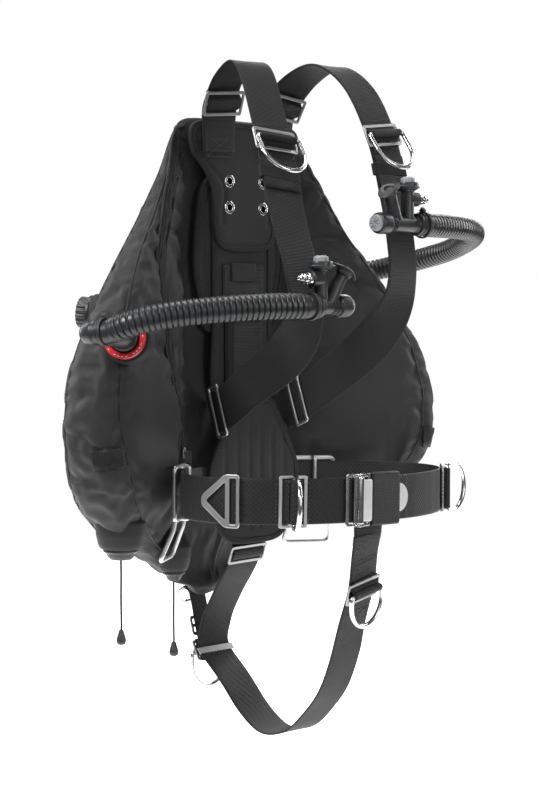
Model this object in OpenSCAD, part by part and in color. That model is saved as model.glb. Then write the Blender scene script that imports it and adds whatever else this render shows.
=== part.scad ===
// Sidemount buoyancy compensator: an air wing carried on the back by a webbing harness.
// +X is the wearer's left, +Y the wearer's back and +Z up. The origin is the centre of the
// four spine grommets, on the front face of the top pad, where a mounting plate is bolted.

/* [Webbing] */
// Width of the harness webbing
web_w = 50; // [48:1:50]
// Thickness of the harness webbing
web_t = 2.4; // [2.2:0.1:2.6]

/* [Back pads] */
// Sideways distance between the spine grommets
grommet_dx = 54; // [52:1:56]
// Upright distance between the spine grommets
grommet_dz = 31; // [30:1:33]
// Radius of the hole in each grommet
grommet_r = 4; // [3:0.25:4.5]
// Thickness of the padded panels
pad_t = 6; // [4:0.5:6]

/* [Wing] */
// Half width of the wing at its widest
wing_half = 272; // [266:1:274]
// Thickness of the wing's fabric shell
shell_t = 2; // [1.5:0.5:2.5]

/* [Belt] */
// Half width of the waist belt, side to side
belt_a = 176; // [172:1:178]
// Half depth of the waist belt, back to front
belt_b = 112; // [110:1:114]
// Height of the middle of the belt
belt_z = -342; // [-346:1:-338]

/* [Hoses] */
// Outer diameter of the corrugated hoses
hose_d = 28; // [26:1:28]
// Diameter of the dump valve pull cords
cord_d = 2.4; // [2:0.2:3]

/* [Hardware] */
// Radius of the wire in the D-rings
ring_r = 2.6; // [2.4:0.1:2.8]
// Radius of the wire in the door handle rings
handle_r = 2.5; // [2.2:0.1:2.8]

/* [Hidden] */

// Where two wires are welded, the joint is this much thicker than the wire
SWELL = 1.04;
// Gap between webbing and the metal on it
gap = 0.4;
// Thickness of the flat metal sliders, and the width of their bars
PLATE_T = 2.4;
SLIDER_BAR = 4;
// Thickness of webbing folded over a bar, and of the fold round a ring
FOLD_T = 1.8;
SLEEVE_T = 1.7;
// Height of a slider, and of a ring's bar, above the middle of the webbing under it
PLATE_LIFT = web_t / 2 + gap + 0.2;
GLIDE_LIFT = gap + 4.1;
SLEEVE_LIFT = web_t / 2 + gap + PLATE_T + gap + ring_r + FOLD_T;
// How far each ring stands off the strap it hangs on
SHOULDER_REST = 12;
RIGHT_RING_REST = 96;
LEFT_RING_REST = 34;
FRONT_RING_REST = 170;
REAR_RING_REST = 30;
TAIL_RING_REST = 40;

// Depth of the belt's middle, and half depth of its back half
TORSO_Y = -115;
BELT_BACK = 118;
// Angles round the belt, where 0 is the front and -90 the wearer's right
BELT_MEET = -10;
BELT_END = 168;
BELT_STEPS = 26;
RIGHT_RING_ANGLE = -42;
LEFT_RING_ANGLE = 58;
BUCKLE_ANGLE = -14.8;
LOOP_ANGLE = -1.7;
PLATE_ANGLE = 5.8;
TRIANGLE_ANGLE = -75;
RIGHT_HANDLE_ANGLE = -132;
LEFT_HANDLE_ANGLE = 147;
PLATE_R = 16;
BUCKLE_LIFT = PLATE_LIFT + 1;
BUCKLE_PIN_Z = 6;
BUCKLE_PIN_R = 1.5;
HANDLE_LIFT = web_t / 2 + gap + handle_r + 1.2;
HANDLE_WINDOW = [[-29, -28, 0], [31, -28, 0], [31, 28, 0], [-29, 28, 0]];
HANDLE_LOOP = [[31, -25, 0], [42, -25, 2], [77, -31, 16], [77, 31, 16], [42, 25, 2], [31, 25, 0]];
TAIL_W = 25;

// Half width of the wing's flat centre band, and how the lobes' lower ends differ
CENTRE_BAND = 82;
PATCH_SIDES = 28;
BLADDER_GAP = 13;
BLADDER_SPLIT = 3;
WING_SIDES = 40;
WING_STEP = 360 / WING_SIDES;
LEFT_RISE = 22;
RIGHT_SAG = 9;
// Depths of the back panels' front faces
SPINE_Y = 8;
SPINE_T = 3;
POCKET_T = 6;
LUMBAR_Y = -15;
GROMMET_NECK = 1.4;
ZIP_PULL_AT = 5.7;

// Inflators: length of the tube, and where the stem and mouthpiece stand on it
RIGHT_LENGTH = 48;
RIGHT_STEM = 8;
RIGHT_MOUTH = 31;
LEFT_LENGTH = 70;
LEFT_STEM = 19;
LEFT_MOUTH = 50;
TUBE_R = 9;
STEM_TOP = 48;
NIPPLE_Z = 29;
BUTTON_R = 8;
EXHAUST_R = 9.5;
MOUTH_LEAN = [11, -4, 16];
CORD_BORE = 2.2;
MAIN_CORD_DROP = 84;
RESERVE_CORD_DROP = 76;

$fn = 32;

// ---------------------------------------------------------------- curves and frames

function unit(v) = v / norm(v);
function mix(a, b, t) = a + (b - a) * t;

// One span of a smooth curve from b to c, with a and d beyond its ends
function span(a, b, c, d, t) =
    0.5 * (2 * b + (c - a) * t + (2 * a - 5 * b + 4 * c - d) * t * t
        + (3 * b - a - 3 * c + d) * t * t * t);

// A row of a list, with rows past either end carried on in a straight line
function row(rows, i) =
    i < 0 ? 2 * rows[0] - rows[1]
    : i >= len(rows) ? 2 * rows[len(rows) - 1] - rows[len(rows) - 2]
    : rows[i];

// The row at u, counted in spans from the first row
function along(rows, u) =
    let(i = min(max(floor(u), 0), len(rows) - 2))
    span(row(rows, i - 1), rows[i], rows[i + 1], row(rows, i + 2), u - i);

// n points for each span of a smooth closed outline
function closed(points, n) =
    let(m = len(points))
    [for (i = [0 : m - 1]) for (k = [0 : n - 1])
        span(points[(i + m - 1) % m], points[i], points[(i + 1) % m], points[(i + 2) % m], k / n)];

// A half outline of (x, y) points from top to bottom, made whole about x = 0
function mirrored(half) =
    concat([for (p = half) if (p[0] != 0 || p == half[0] || p == half[len(half) - 1]) p],
        [for (i = [len(half) - 1 : -1 : 0]) if (half[i][0] != 0) [-half[i][0], half[i][1]]]);

function place_of(r) = [r[0], r[1], r[2]];
function width_of(r) = [r[3], r[4], r[5]];

// Place, width, run and face directions of a strap at u
function strap_frame(rows, u) =
    let(
        p = place_of(along(rows, u)),
        run = unit(place_of(along(rows, u + 0.02)) - place_of(along(rows, u - 0.02))),
        w = width_of(along(rows, u)),
        across = unit(w - (w * run) * run)
    )
    [p, across, run, cross(across, run)];

// Puts children on a strap: x across it, y along it, z off its face
module on_strap(rows, u, lift = 0, back = false) {
    f = strap_frame(rows, u);
    side = back ? -1 : 1;
    x = side * f[1];
    y = f[2];
    z = side * f[3];
    p = f[0] + lift * z;
    multmatrix([
        [x[0], y[0], z[0], p[0]],
        [x[1], y[1], z[1], p[1]],
        [x[2], y[2], z[2], p[2]],
        [0, 0, 0, 1]])
        children();
}

// Puts children at p with z along a direction and x level or as near as can be
module aim(p, direction, ref = [0, 0, 1]) {
    z = unit(direction);
    x = unit(cross(abs(z[2]) > 0.99 ? [0, 1, 0] : ref, z));
    y = cross(z, x);
    multmatrix([
        [x[0], y[0], z[0], p[0]],
        [x[1], y[1], z[1], p[1]],
        [x[2], y[2], z[2], p[2]],
        [0, 0, 0, 1]])
        children();
}

// A solid skin over rings of points that all have the same even count, closed across by strips
module skin(rings) {
    m = len(rings);
    n = len(rings[0]);
    points = [for (r = rings) for (p = r) p];
    walls = [for (i = [0 : m - 2]) for (k = [0 : n - 1])
        let(a = i * n + k, b = i * n + (k + 1) % n)
        each [[a, b, a + n], [b, b + n, a + n]]];
    first = [for (k = [0 : n / 2 - 2]) each [[k, n - 1 - k, k + 1], [k + 1, n - 1 - k, n - 2 - k]]];
    end = (m - 1) * n;
    last = [for (f = first) [end + f[0], end + f[2], end + f[1]]];
    polyhedron(points, concat(first, walls, last));
}

// Webbing swept along rows of place and width direction
module webbing(rows, n, w = web_w, t = web_t) {
    skin([for (k = [0 : (len(rows) - 1) * n])
        let(f = strap_frame(rows, k / n))
        [for (c = [[-1, -1], [1, -1], [1, 1], [-1, 1]])
            f[0] + c[0] * w / 2 * f[1] + c[1] * t / 2 * f[3]]]);
}

// A round tube swept along points, with ref kept out of line with the route
module tube(points, n, d, sides = 12, ref = [0, 0, 1]) {
    skin([for (k = [0 : (len(points) - 1) * n])
        let(
            p = along(points, k / n),
            run = unit(along(points, k / n + 0.02) - along(points, k / n - 0.02)),
            x = unit(cross(run, ref)),
            y = cross(run, x)
        )
        [for (j = [0 : sides - 1])
            p + d / 2 * (cos(360 * j / sides) * x - sin(360 * j / sides) * y)]]);
}

// ---------------------------------------------------------------- hardware shapes

function rounded(w, h, r, n = 4) =
    [for (q = [0 : 3]) for (k = [0 : n])
        let(
            a = 90 * q + 90 * k / n,
            cx = (q == 0 || q == 3 ? 1 : -1) * (w / 2 - r),
            cy = (q < 2 ? 1 : -1) * (h / 2 - r)
        )
        [cx + r * cos(a), cy + r * sin(a)]];

function rounded_at(c, w, h, r) = [for (p = rounded(w, h, r)) p + c];

module rod(a, b, r) {
    aim(a, b - a)
        cylinder(h = norm(b - a), r = r);
}

// Bent wire through points, closed or open, with round corners
module wire(points, r, is_closed = true) {
    for (i = [0 : len(points) - (is_closed ? 1 : 2)])
        rod(points[i], points[(i + 1) % len(points)], r);
    for (p = points)
        translate(p) sphere(r * SWELL);
}

// A flat frame with two slots that webbing weaves through, lying on the strap's face
module slider_plate(w = web_w + 7, h = 28) {
    slot_h = (h - 3 * SLIDER_BAR) / 2;
    linear_extrude(PLATE_T)
        difference() {
            polygon(rounded(w, h, 3));
            for (s = [-1, 1])
                translate([0, s * (SLIDER_BAR + slot_h) / 2])
                    polygon(rounded(w - 6, slot_h, 1));
        }
}

// A slider with its middle bar left out, where a ring's bar does its work
module ring_slider(w = web_w + 7, h = 27) {
    linear_extrude(PLATE_T)
        difference() {
            polygon(rounded(w, h, 3));
            polygon(rounded(w - 6, h - 2 * SLIDER_BAR, 1));
        }
}

// The turn of webbing that stands over a slider's middle bar
module webbing_hump(h, lift) {
    top = lift + PLATE_T + gap + FOLD_T;
    reach = h / 2 - SLIDER_BAR - 0.6;
    inner = SLIDER_BAR / 2 + gap;
    rotate([90, 0, 90])
        translate([0, 0, 1 - web_w / 2])
            linear_extrude(web_w - 2)
                polygon([
                    [-reach, -web_t * 0.7], [-reach, 0.5], [-inner - 2.4, top - 0.8], [-inner, top],
                    [inner, top], [inner + 2.4, top - 0.8], [reach, 0.5], [reach, -web_t * 0.7],
                    [reach - 2.2, -web_t * 0.7], [inner, top - FOLD_T + 0.3],
                    [-inner, top - FOLD_T + 0.3], [-reach + 2.2, -web_t * 0.7]]);
}

// Half-round ring that hangs from its straight bar, which lies along x at the origin
module d_ring(depth = 44, half = 28, r = ring_r) {
    leg = depth - half;
    rod([-half, 0, 0], [half, 0, 0], r);
    for (s = [-1, 1]) {
        translate([s * half, 0, 0]) sphere(r * SWELL);
        rod([s * half, 0, 0], [s * half, leg, 0], r);
    }
    translate([0, leg, 0])
        rotate_extrude(angle = 180)
            translate([half, 0]) circle(r);
}

// The sewn fold of webbing that holds a ring's straight bar
module ring_sleeve(length = web_w - 2, r = ring_r) {
    foot = web_t / 2 - SLEEVE_LIFT;
    rotate([90, 0, 90])
        difference() {
            union() {
                cylinder(h = length, r = r + SLEEVE_T, center = true);
                linear_extrude(length, center = true)
                    polygon([[-6.5, foot - 0.6], [6.5, foot - 0.6], [r + SLEEVE_T - 0.3, 0],
                        [0.3 - r - SLEEVE_T, 0]]);
            }
            cylinder(h = length + 2, r = r + 0.08, center = true);
        }
}

// ---------------------------------------------------------------- strap routes
// Each row is a place and the direction of the strap's width there.

RIGHT_STRAP = [
    [-46, -1.7, 48, -1, 0, 0],
    [-47, -1.7, 72, -1, 0, 0],
    [-50, -9, 108, -0.9, 0.2, -0.42],
    [-54, -32, 136, -0.95, 0.2, -0.22],
    [-60, -66, 145, -0.98, 0.1, 0],
    [-72, -98, 120, -0.99, 0.1, 0],
    [-82, -132, 50, -0.99, 0.1, 0],
    [-91, -154, 0, -0.99, 0.08, 0],
    [-99, -178, -50, -0.99, 0.06, 0.02],
    [-102, -198, -100, -0.97, 0.05, 0.1],
    [-101, -200, -142, -0.9, 0.05, 0.3],
    [-98, -170, -184, -0.55, 0.3, 0.7],
    [-85, -95, -222, -0.1, 0.5, 0.86],
    [-66, -34, -250, 0, 0.5, 0.86],
    [-61, -8, -258, 0, 0.4, 0.92],
    [-54, 1, -266, 0, 0.3, 0.95]];

LEFT_STRAP = [
    [46, -1.7, 48, -1, 0, 0],
    [47, -1.7, 72, -1, 0, 0],
    [50, -9, 110, -0.92, -0.1, 0.4],
    [55, -38, 138, -0.98, 0, 0.15],
    [62, -76, 150, -1, 0.03, 0],
    [74, -112, 124, -1, 0.03, 0],
    [85, -138, 66, -1, 0.03, 0],
    [87, -154, 10, -1, -0.03, 0],
    [85, -167, -40, -0.99, -0.06, 0],
    [87, -171, -90, -0.98, -0.06, 0.05],
    [88, -160, -132, -0.9, 0, 0.35],
    [84, -122, -176, -0.5, 0.3, 0.75],
    [73, -72, -214, -0.1, 0.45, 0.86],
    [64, -34, -241, 0.05, 0.45, 0.86],
    [63, -9, -252, 0.05, 0.4, 0.88],
    [54, 1, -260, 0, 0.3, 0.95]];

// Stations along the straps, in rows from the upper end
TOP_GLIDE_AT = 1.95;
RING_AT = 6;
KEEPER_AT = 6.75;
LUMBAR_AT = 13.3;
REAR_RING_AT = 5;
FRONT_RING_AT = 14;

CROTCH_STRAP = [
    [-3, -6.5, -388, 1, 0, 0],
    [-3, -5, -412, 1, 0, 0],
    [-2, 8, -444, 1, 0, 0],
    [0, 38, -484, 1, 0, 0],
    [0, 57, -520, 1, 0, 0],
    [0, 60, -550, 1, 0, 0],
    [0, 24, -580, 1, 0, 0],
    [0, -8, -611, 1, 0, 0],
    [0, -42, -633, 1, 0, 0],
    [0, -80, -630, 1, 0, 0],
    [-1, -116, -606, 1, 0.02, 0],
    [-3, -150, -568, 1, 0.04, 0],
    [-6, -170, -526, 1, 0.06, 0],
    [-10, -184, -490, 1, 0.12, 0],
    [-14, -202, -448, 1, 0.16, 0],
    [-20, -214, -405, 1, 0.16, 0],
    [-21, -219, -384, 1, 0.12, 0]];

TAIL_STRAP = [
    [0, 92, -440, 1, 0, 0],
    [0, 92, -474, 1, 0, 0],
    [0, 86, -506, 1, 0, 0],
    [0, 78, -534, 1, 0, 0],
    [0, 74, -545, 1, 0, 0]];

// The belt follows an ellipse, and angle 0 is its front
function belt_row(angle) =
    let(depth = cos(angle) > 0 ? belt_b : BELT_BACK)
    [belt_a * sin(angle), TORSO_Y - depth * cos(angle), belt_z - 3 * (1 + sin(angle)), 0, 0, -1];
function belt_rows(from, to, n) =
    [for (k = [0 : n]) belt_row(mix(from, to, k / n))];

module on_belt(angle, lift = 0) {
    step = 2;
    on_strap(belt_rows(angle - step, angle + step, 2), 1, lift) children();
}

// ---------------------------------------------------------------- wing
// Each row: height, half width as a share of the widest, depth of the middle and of the edge,
// thickness at the middle and near the edge.

WING = [
    [90, 0.26, 27, 22, 8, 5],
    [82, 0.33, 29, 21, 20, 10],
    [60, 0.39, 34, 16, 30, 16],
    [17, 0.47, 41, 8, 38, 34],
    [-40, 0.59, 42, 2, 40, 66],
    [-109, 0.78, 43, -12, 42, 90],
    [-180, 0.945, 44, -24, 44, 110],
    [-240, 1.01, 40, -28, 44, 124],
    [-290, 1.0, 38, -28, 42, 130],
    [-335, 0.95, 40, -22, 40, 122],
    [-372, 0.82, 48, -6, 38, 98],
    [-402, 0.61, 60, 24, 36, 62],
    [-436, 0.36, 70, 54, 30, 38],
    [-468, 0.15, 74, 70, 20, 20],
    [-486, 0.04, 75, 74, 8, 8]];

// Where the hollow inside begins and ends
INSIDE_TOP = [70, 0.34, 32, 18, 22, 10];
INSIDE_END = [-455, 0.2, 72, 64, 20, 22];

// The slot in the top edge, where the bladders go in
WING_MOUTH = [90, 4, 40];

// Share of the way out from the flat centre band to the lobe's edge
function lobe_share(x, w) = let(core = min(CENTRE_BAND, w / 2)) max(abs(x) - core, 0) / (w - core);
function wing_middle(r, x, w) = mix(r[2], r[3], pow(lobe_share(x, w), 1.1));
function wing_depth(r, x, w, inset) = max(mix(r[4], r[5], pow(lobe_share(x, w), 0.8)) - 2 * inset, 0.8);

// One point of the wing, at a row and an angle round it: 0 is the wearer's left edge, -90 the front
function wing_point(r, a, inset = 0) =
    let(
        w = max(r[1] * wing_half - inset, 1),
        x = w * sign(cos(a)) * pow(abs(cos(a)), 0.62),
        s = sign(sin(a)) * pow(abs(sin(a)), 0.5)
    )
    [x, wing_middle(r, x, w) + s * wing_depth(r, x, w, inset) / 2, r[0] - lobe_sag(x, r[0])];

// The right lobe holds the dump valves and hangs lower than the left
function ramp(d) = min(max(d / 100, 0), 1);
function lobe_sag(x, z) =
    x > 0 ? -LEFT_RISE * sin(min(x, 180) / 2) * ramp(-300 - z)
    : RIGHT_SAG * sin(min(-x, 180) / 2) * ramp(-240 - z);

function wing_rings(rows, inset = 0) =
    [for (r = rows) [for (k = [0 : WING_SIDES - 1]) wing_point(r, (k + 0.5) * WING_STEP, inset)]];

// A bladder fills one half of the wing's depth: side -1 is the front half, 1 the back
function bladder_rings(rows, side) =
    [for (r = rows)
        let(w = r[1] * wing_half)
        [for (k = [0 : WING_SIDES - 1])
            let(
                p = wing_point(r, (k + 0.5) * WING_STEP),
                mid = wing_middle(r, p[0], w),
                half = wing_depth(r, p[0], w, 0) / 2,
                s = (p[1] - mid) / half
            )
            [p[0] * (1 - BLADDER_GAP / w), mid + (s * side > 0 ? s * (half - BLADDER_GAP) : side * BLADDER_SPLIT), p[2]]]];

// A point of the wing's skin by row and angle, laid on the flat faces between its corners
function corner_mix(r, a) =
    let(k = floor(a / WING_STEP - 0.5), t = a / WING_STEP - 0.5 - k)
    mix(wing_point(r, (k + 0.5) * WING_STEP), wing_point(r, (k + 1.5) * WING_STEP), t);
function wing_at(u, a) =
    let(i = min(max(floor(u), 0), len(WING) - 2))
    mix(corner_mix(WING[i], a), corner_mix(WING[i + 1], a), u - i);
function wing_normal(u, a) =
    unit(cross(wing_at(u + 0.3, a) - wing_at(u - 0.3, a), wing_at(u, a + 4) - wing_at(u, a - 4)));

// Valve seats: place on the skin and the way each one faces
function on_skin(u, a, out) = wing_at(u, a) + out * wing_normal(u, a);
RIGHT_FACE = [-0.8, -0.58, 0.15];
RIGHT_SEAT = on_skin(5.86, 203, 15);
LEFT_FACE = [0.1, 0.99, 0.1];
LEFT_SEAT = on_skin(5.04, 60, 4);
RELIEF_FACE = [-0.55, 0.82, 0.1];
RELIEF_SEAT = on_skin(5.45, 146, 4);
DUMP_FACE = [0, 0, -1];
MAIN_DUMP_SEAT = on_skin(10.45, 186, 6) + [0, 0, -5];
RESERVE_DUMP_SEAT = on_skin(11.3, 241, 6) + [0, 0, -26];

// The stiffened patch of cloth under a valve, with flat sides like the rest of the skin
module seat_patch(seat, face, r, deep) {
    step = 360 / PATCH_SIDES;
    aim(seat - deep * unit(face), face)
        linear_extrude(deep)
            polygon([for (k = [0 : PATCH_SIDES - 1]) r * [cos(step * k), sin(step * k)]]);
}

module wing_cover() {
    color("#161618")
        difference() {
            union() {
                skin(wing_rings(WING));
                seat_patch(RIGHT_SEAT, RIGHT_FACE, 28, 24);
                seat_patch(LEFT_SEAT, LEFT_FACE, 24, 12);
                seat_patch(RELIEF_SEAT, RELIEF_FACE, 22, 14);
                seat_patch(MAIN_DUMP_SEAT, DUMP_FACE, 24, 24);
                seat_patch(RESERVE_DUMP_SEAT, DUMP_FACE, 16, 24);
            }
            skin(wing_rings(concat([INSIDE_TOP], [for (k = [2 : len(WING) - 3]) WING[k]], [INSIDE_END]), shell_t));
            translate([-WING_MOUTH[0] / 2, 25, 65]) cube(WING_MOUTH);
        }
}

module main_bladder() {
    color("#2a2a2e")
        skin(bladder_rings([for (k = [4 : len(WING) - 4]) WING[k]], -1));
}

module reserve_bladder() {
    color("#33333a")
        skin(bladder_rings([for (k = [4 : len(WING) - 4]) WING[k]], 1));
}

// The zip's course: row along the wing and angle round it
ZIP_COURSE = [[1.6, 212], [2.8, 214], [4.2, 223], [5.3, 244], [6, 252], [7.4, 259], [8.5, 257]];
RIGHT_TAB_COURSE = [[8.05, 186], [8.05, 195], [8.05, 204], [8.05, 213]];
LEFT_TAB_COURSE = [[8.2, -8], [8.2, -15], [8.2, -22], [8.2, -30]];

// A flat strip laid on the skin along a course, half a width each way and from low to high off it
module skin_strip(course, n, half, low, high) {
    function at(k) = let(c = along(course, k)) wing_at(c[0], c[1]);
    function out(k) = let(c = along(course, k)) wing_normal(c[0], c[1]);
    last = len(course) - 1;
    skin([for (i = [0 : n])
        let(
            k = mix(0.02, last - 0.02, i / n),
            across = unit(cross(at(k + 0.02) - at(k - 0.02), out(k)))
        )
        [for (c = [[-1, low], [1, low], [1, high], [-1, high]])
            at(k) + c[0] * half * across + c[1] * out(k)]]);
}

// The zip that opens the right lobe
module wing_zipper() {
    color("#0d0d0e") skin_strip(ZIP_COURSE, 30, 5, 1.6, 3.4);
}

// The slider's tab, hanging from its pin
module zipper_pull() {
    color("#3a3a3c")
        translate(zip_hinge())
            rotate([90, 0, -40])
                linear_extrude(1.6, center = true)
                    difference() {
                        translate([0, -11]) polygon(rounded(8, 26, 3));
                        circle(1.2);
                    }
}

function zip_hinge() =
    let(c = along(ZIP_COURSE, ZIP_PULL_AT))
    wing_at(c[0], c[1]) + 9 * wing_normal(c[0], c[1]);

// Two short webbing tabs sewn on the gussets, with bungee hooks in use
module wing_side_tabs() {
    color("#222224") {
        skin_strip(RIGHT_TAB_COURSE, 6, 12, 1.4, 3.4);
        skin_strip(LEFT_TAB_COURSE, 6, 12, 1.4, 3.4);
    }
}

// ---------------------------------------------------------------- back pads

TOP_PAD_HALF = [[0, 84], [48, 85], [77, 82], [87, 70], [83, 48], [66, 30], [53, 10], [49, -14],
    [48, -42], [40, -60], [20, -66], [0, -66]];
SPINE_HALF = [[0, 60], [30, 60], [42, 48], [46, 20], [47, -60], [47, -150], [47, -236], [0, -240]];
LUMBAR_HALF = [[0, -240], [24, -241], [35, -251], [50, -280], [69, -316], [71, -345], [66, -372],
    [52, -400], [34, -412], [0, -414]];
POCKET_HALF = [[0, 30], [38, 26], [62, 4], [70, -36], [73, -84], [64, -128], [58, -156], [30, -166],
    [0, -168]];

// A flat panel in the plane of the back, with its front face at y
module panel(half, y, t) {
    translate([0, y + t, 0])
        rotate([90, 0, 0])
            linear_extrude(t)
                polygon(closed(mirrored(half), 5));
}

module at_grommets() {
    for (x = [-1, 1], z = [-1, 1])
        translate([x * grommet_dx / 2, 0, z * grommet_dz / 2]) children();
}

module top_pad() {
    color("#1b1b1d")
        difference() {
            panel(TOP_PAD_HALF, 0.8, pad_t - 0.8);
            at_grommets()
                rotate([90, 0, 0])
                    cylinder(h = 40, r = grommet_r + GROMMET_NECK + 0.05, center = true);
        }
}

// Rolled steel eyelets whose flanges close on both faces of the pad
module grommets() {
    color("#b9b9b7")
        at_grommets()
            rotate([-90, 0, 0])
                rotate_extrude() {
                    translate([grommet_r, 0]) square([GROMMET_NECK, pad_t + 0.8]);
                    translate([grommet_r, 0]) square([4, 0.8]);
                    translate([grommet_r, pad_t]) square([4, 0.8]);
                }
}

// The spine panel with its webbing slots
module spine_panel() {
    color("#19191b")
        difference() {
            panel(SPINE_HALF, SPINE_Y, SPINE_T);
            for (z = [-90, -112])
                translate([0, SPINE_Y, z]) cube([40, 20, 8], center = true);
            at_grommets()
                rotate([90, 0, 0])
                    cylinder(h = 40, r = grommet_r + 2, center = true);
        }
    color("#19191b")
        translate([0, 7, -185])
            rotate([90, 0, 0])
                linear_extrude(2.6, center = true)
                    polygon(rounded(60, 84, 3));
}

module spine_slider() {
    color("#c8c8c6")
        translate([0, 5, -140])
            rotate([90, 0, 0])
                linear_extrude(2.4)
                    difference() {
                        polygon(rounded(62, 16, 2));
                        polygon(rounded(53, 8, 1));
                    }
}

module lumbar_pad() {
    color("#1b1b1d") panel(LUMBAR_HALF, LUMBAR_Y, pad_t);
}

module weight_pocket() {
    color("#151517")
        difference() {
            panel(POCKET_HALF, SPINE_Y + SPINE_T + 0.6, POCKET_T);
            at_grommets()
                rotate([90, 0, 0])
                    cylinder(h = 60, r = grommet_r + 2, center = true);
        }
}

// ---------------------------------------------------------------- shoulder straps

module right_shoulder_strap() {
    color("#1d1d1f") {
        webbing(RIGHT_STRAP, 4);
        on_strap(RIGHT_STRAP, TOP_GLIDE_AT, web_t / 2, back = true) webbing_hump(30, GLIDE_LIFT);
        on_strap(RIGHT_STRAP, RING_AT, SLEEVE_LIFT) ring_sleeve();
    }
}

module left_shoulder_strap() {
    color("#1d1d1f") {
        webbing(LEFT_STRAP, 4);
        on_strap(LEFT_STRAP, TOP_GLIDE_AT, web_t / 2, back = true) webbing_hump(30, GLIDE_LIFT);
        on_strap(LEFT_STRAP, RING_AT, SLEEVE_LIFT) ring_sleeve();
    }
}

// Elastic loops that hold the free ends flat
module keeper(rows, u, length = 16) {
    on_strap(rows, u)
        rotate([90, 0, 0])
            linear_extrude(length, center = true)
                difference() {
                    polygon(rounded(web_w + 5.4, web_t + 5.8, 2));
                    polygon(rounded(web_w + 1.2, web_t + 1.8, 0.6));
                }
}

module webbing_keepers() {
    color("#111112") {
        keeper(RIGHT_STRAP, KEEPER_AT, 14);
        keeper(LEFT_STRAP, KEEPER_AT - 0.05, 14);
    }
}

module top_tri_glides() {
    color("#9b9b99") {
        for (rows = [RIGHT_STRAP, LEFT_STRAP])
            on_strap(rows, TOP_GLIDE_AT, web_t / 2 + GLIDE_LIFT, back = true) slider_plate(h = 30);
    }
}

module right_shoulder_slider() {
    color("#c4c4c2") on_strap(RIGHT_STRAP, RING_AT, PLATE_LIFT) ring_slider();
}

module left_shoulder_slider() {
    color("#c4c4c2") on_strap(LEFT_STRAP, RING_AT, PLATE_LIFT) ring_slider();
}

module right_shoulder_ring() {
    color("#d6d6d4") on_strap(RIGHT_STRAP, RING_AT, SLEEVE_LIFT) rotate([SHOULDER_REST, 0, 0]) d_ring(depth = 48);
}

module left_shoulder_ring() {
    color("#d6d6d4") on_strap(LEFT_STRAP, RING_AT, SLEEVE_LIFT) rotate([SHOULDER_REST, 0, 0]) d_ring(depth = 48);
}

module lumbar_sliders() {
    color("#c4c4c2") {
        for (rows = [RIGHT_STRAP, LEFT_STRAP])
            on_strap(rows, LUMBAR_AT, PLATE_LIFT + 1.4) ring_slider(web_w + 12, 22);
    }
}

// ---------------------------------------------------------------- belt

module belt_right() {
    color("#1d1d1f") {
        webbing(belt_rows(-BELT_END, BELT_MEET - 0.1, BELT_STEPS), 1);
        on_belt(RIGHT_RING_ANGLE, SLEEVE_LIFT) ring_sleeve();
    }
}

module belt_left() {
    color("#1d1d1f") {
        webbing(belt_rows(BELT_MEET + 0.1, BELT_END, BELT_STEPS), 1);
        on_belt(LEFT_RING_ANGLE, SLEEVE_LIFT) ring_sleeve();
    }
}

// A flat triangle that joins the belt to the cylinder's lower bungee
module triangle_slider() {
    color("#cfcfcd")
        on_belt(TRIANGLE_ANGLE, PLATE_LIFT)
            linear_extrude(PLATE_T)
                difference() {
                    polygon(closed_corners([[29, 4], [29, 21], [-29, 21], [-29, 4], [-5, -24], [5, -24]], 4));
                    polygon(rounded_at([0, 13.5], 50, 8, 1.5));
                    polygon(closed_corners([[21, 4.5], [-21, 4.5], [0, -19]], 3));
                }
}

// A polygon with each corner cut round by a curve
function closed_corners(points, r) =
    let(m = len(points))
    [for (i = [0 : m - 1])
        let(
            p = points[i],
            a = p + r * unit(points[(i + m - 1) % m] - p),
            b = p + r * unit(points[(i + 1) % m] - p)
        )
        for (k = [0 : 4])
            let(t = k / 4)
            (1 - t) * (1 - t) * a + 2 * t * (1 - t) * p + t * t * b];

module belt_ring_sliders() {
    color("#c4c4c2")
        for (a = [RIGHT_RING_ANGLE, LEFT_RING_ANGLE])
            on_belt(a, PLATE_LIFT) ring_slider(h = 32);
}

module right_belt_ring() {
    color("#d6d6d4")
        on_belt(RIGHT_RING_ANGLE, SLEEVE_LIFT) rotate([RIGHT_RING_REST, 0, 0]) d_ring(depth = 42);
}

module left_belt_ring() {
    color("#d6d6d4")
        on_belt(LEFT_RING_ANGLE, SLEEVE_LIFT) rotate([LEFT_RING_REST, 0, 0]) d_ring(depth = 42);
}

// Frame of the waist buckle: a plate, a roller bar and ears for the lever's pin
module buckle_frame() {
    color("#cfcfcd")
        on_belt(BUCKLE_ANGLE, BUCKLE_LIFT) {
            linear_extrude(PLATE_T)
                difference() {
                    polygon(rounded(web_w + 8, 33, 3));
                    for (s = [-1, 1])
                        translate([0, 9 * s]) polygon(rounded(web_w + 1, 7, 1));
                }
            for (s = [-1, 1])
                difference() {
                    translate([s * (web_w / 2 + 2.5), 0, 0])
                        rotate([0, 90, 0])
                            linear_extrude(PLATE_T, center = true)
                                polygon([[-9, -4], [-9, 4], [-2, 7], [-2, -7]]);
                    translate([0, 0, BUCKLE_PIN_Z])
                        rotate([0, 90, 0])
                            cylinder(h = web_w + 20, r = BUCKLE_PIN_R + 0.05, center = true);
                }
        }
}

// The cam lever that clamps the belt's free end
module buckle_lever() {
    color("#d8d8d6")
        on_belt(BUCKLE_ANGLE, BUCKLE_LIFT)
            translate([0, 0, BUCKLE_PIN_Z]) {
                rotate([0, 90, 0]) cylinder(h = web_w + 9, r = BUCKLE_PIN_R, center = true);
                rotate([0, 90, 0]) cylinder(h = web_w + 1, r = 3.2, center = true);
                translate([0, 7.5, 1.6]) cube([web_w - 4, 14, 2], center = true);
            }
}

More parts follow.
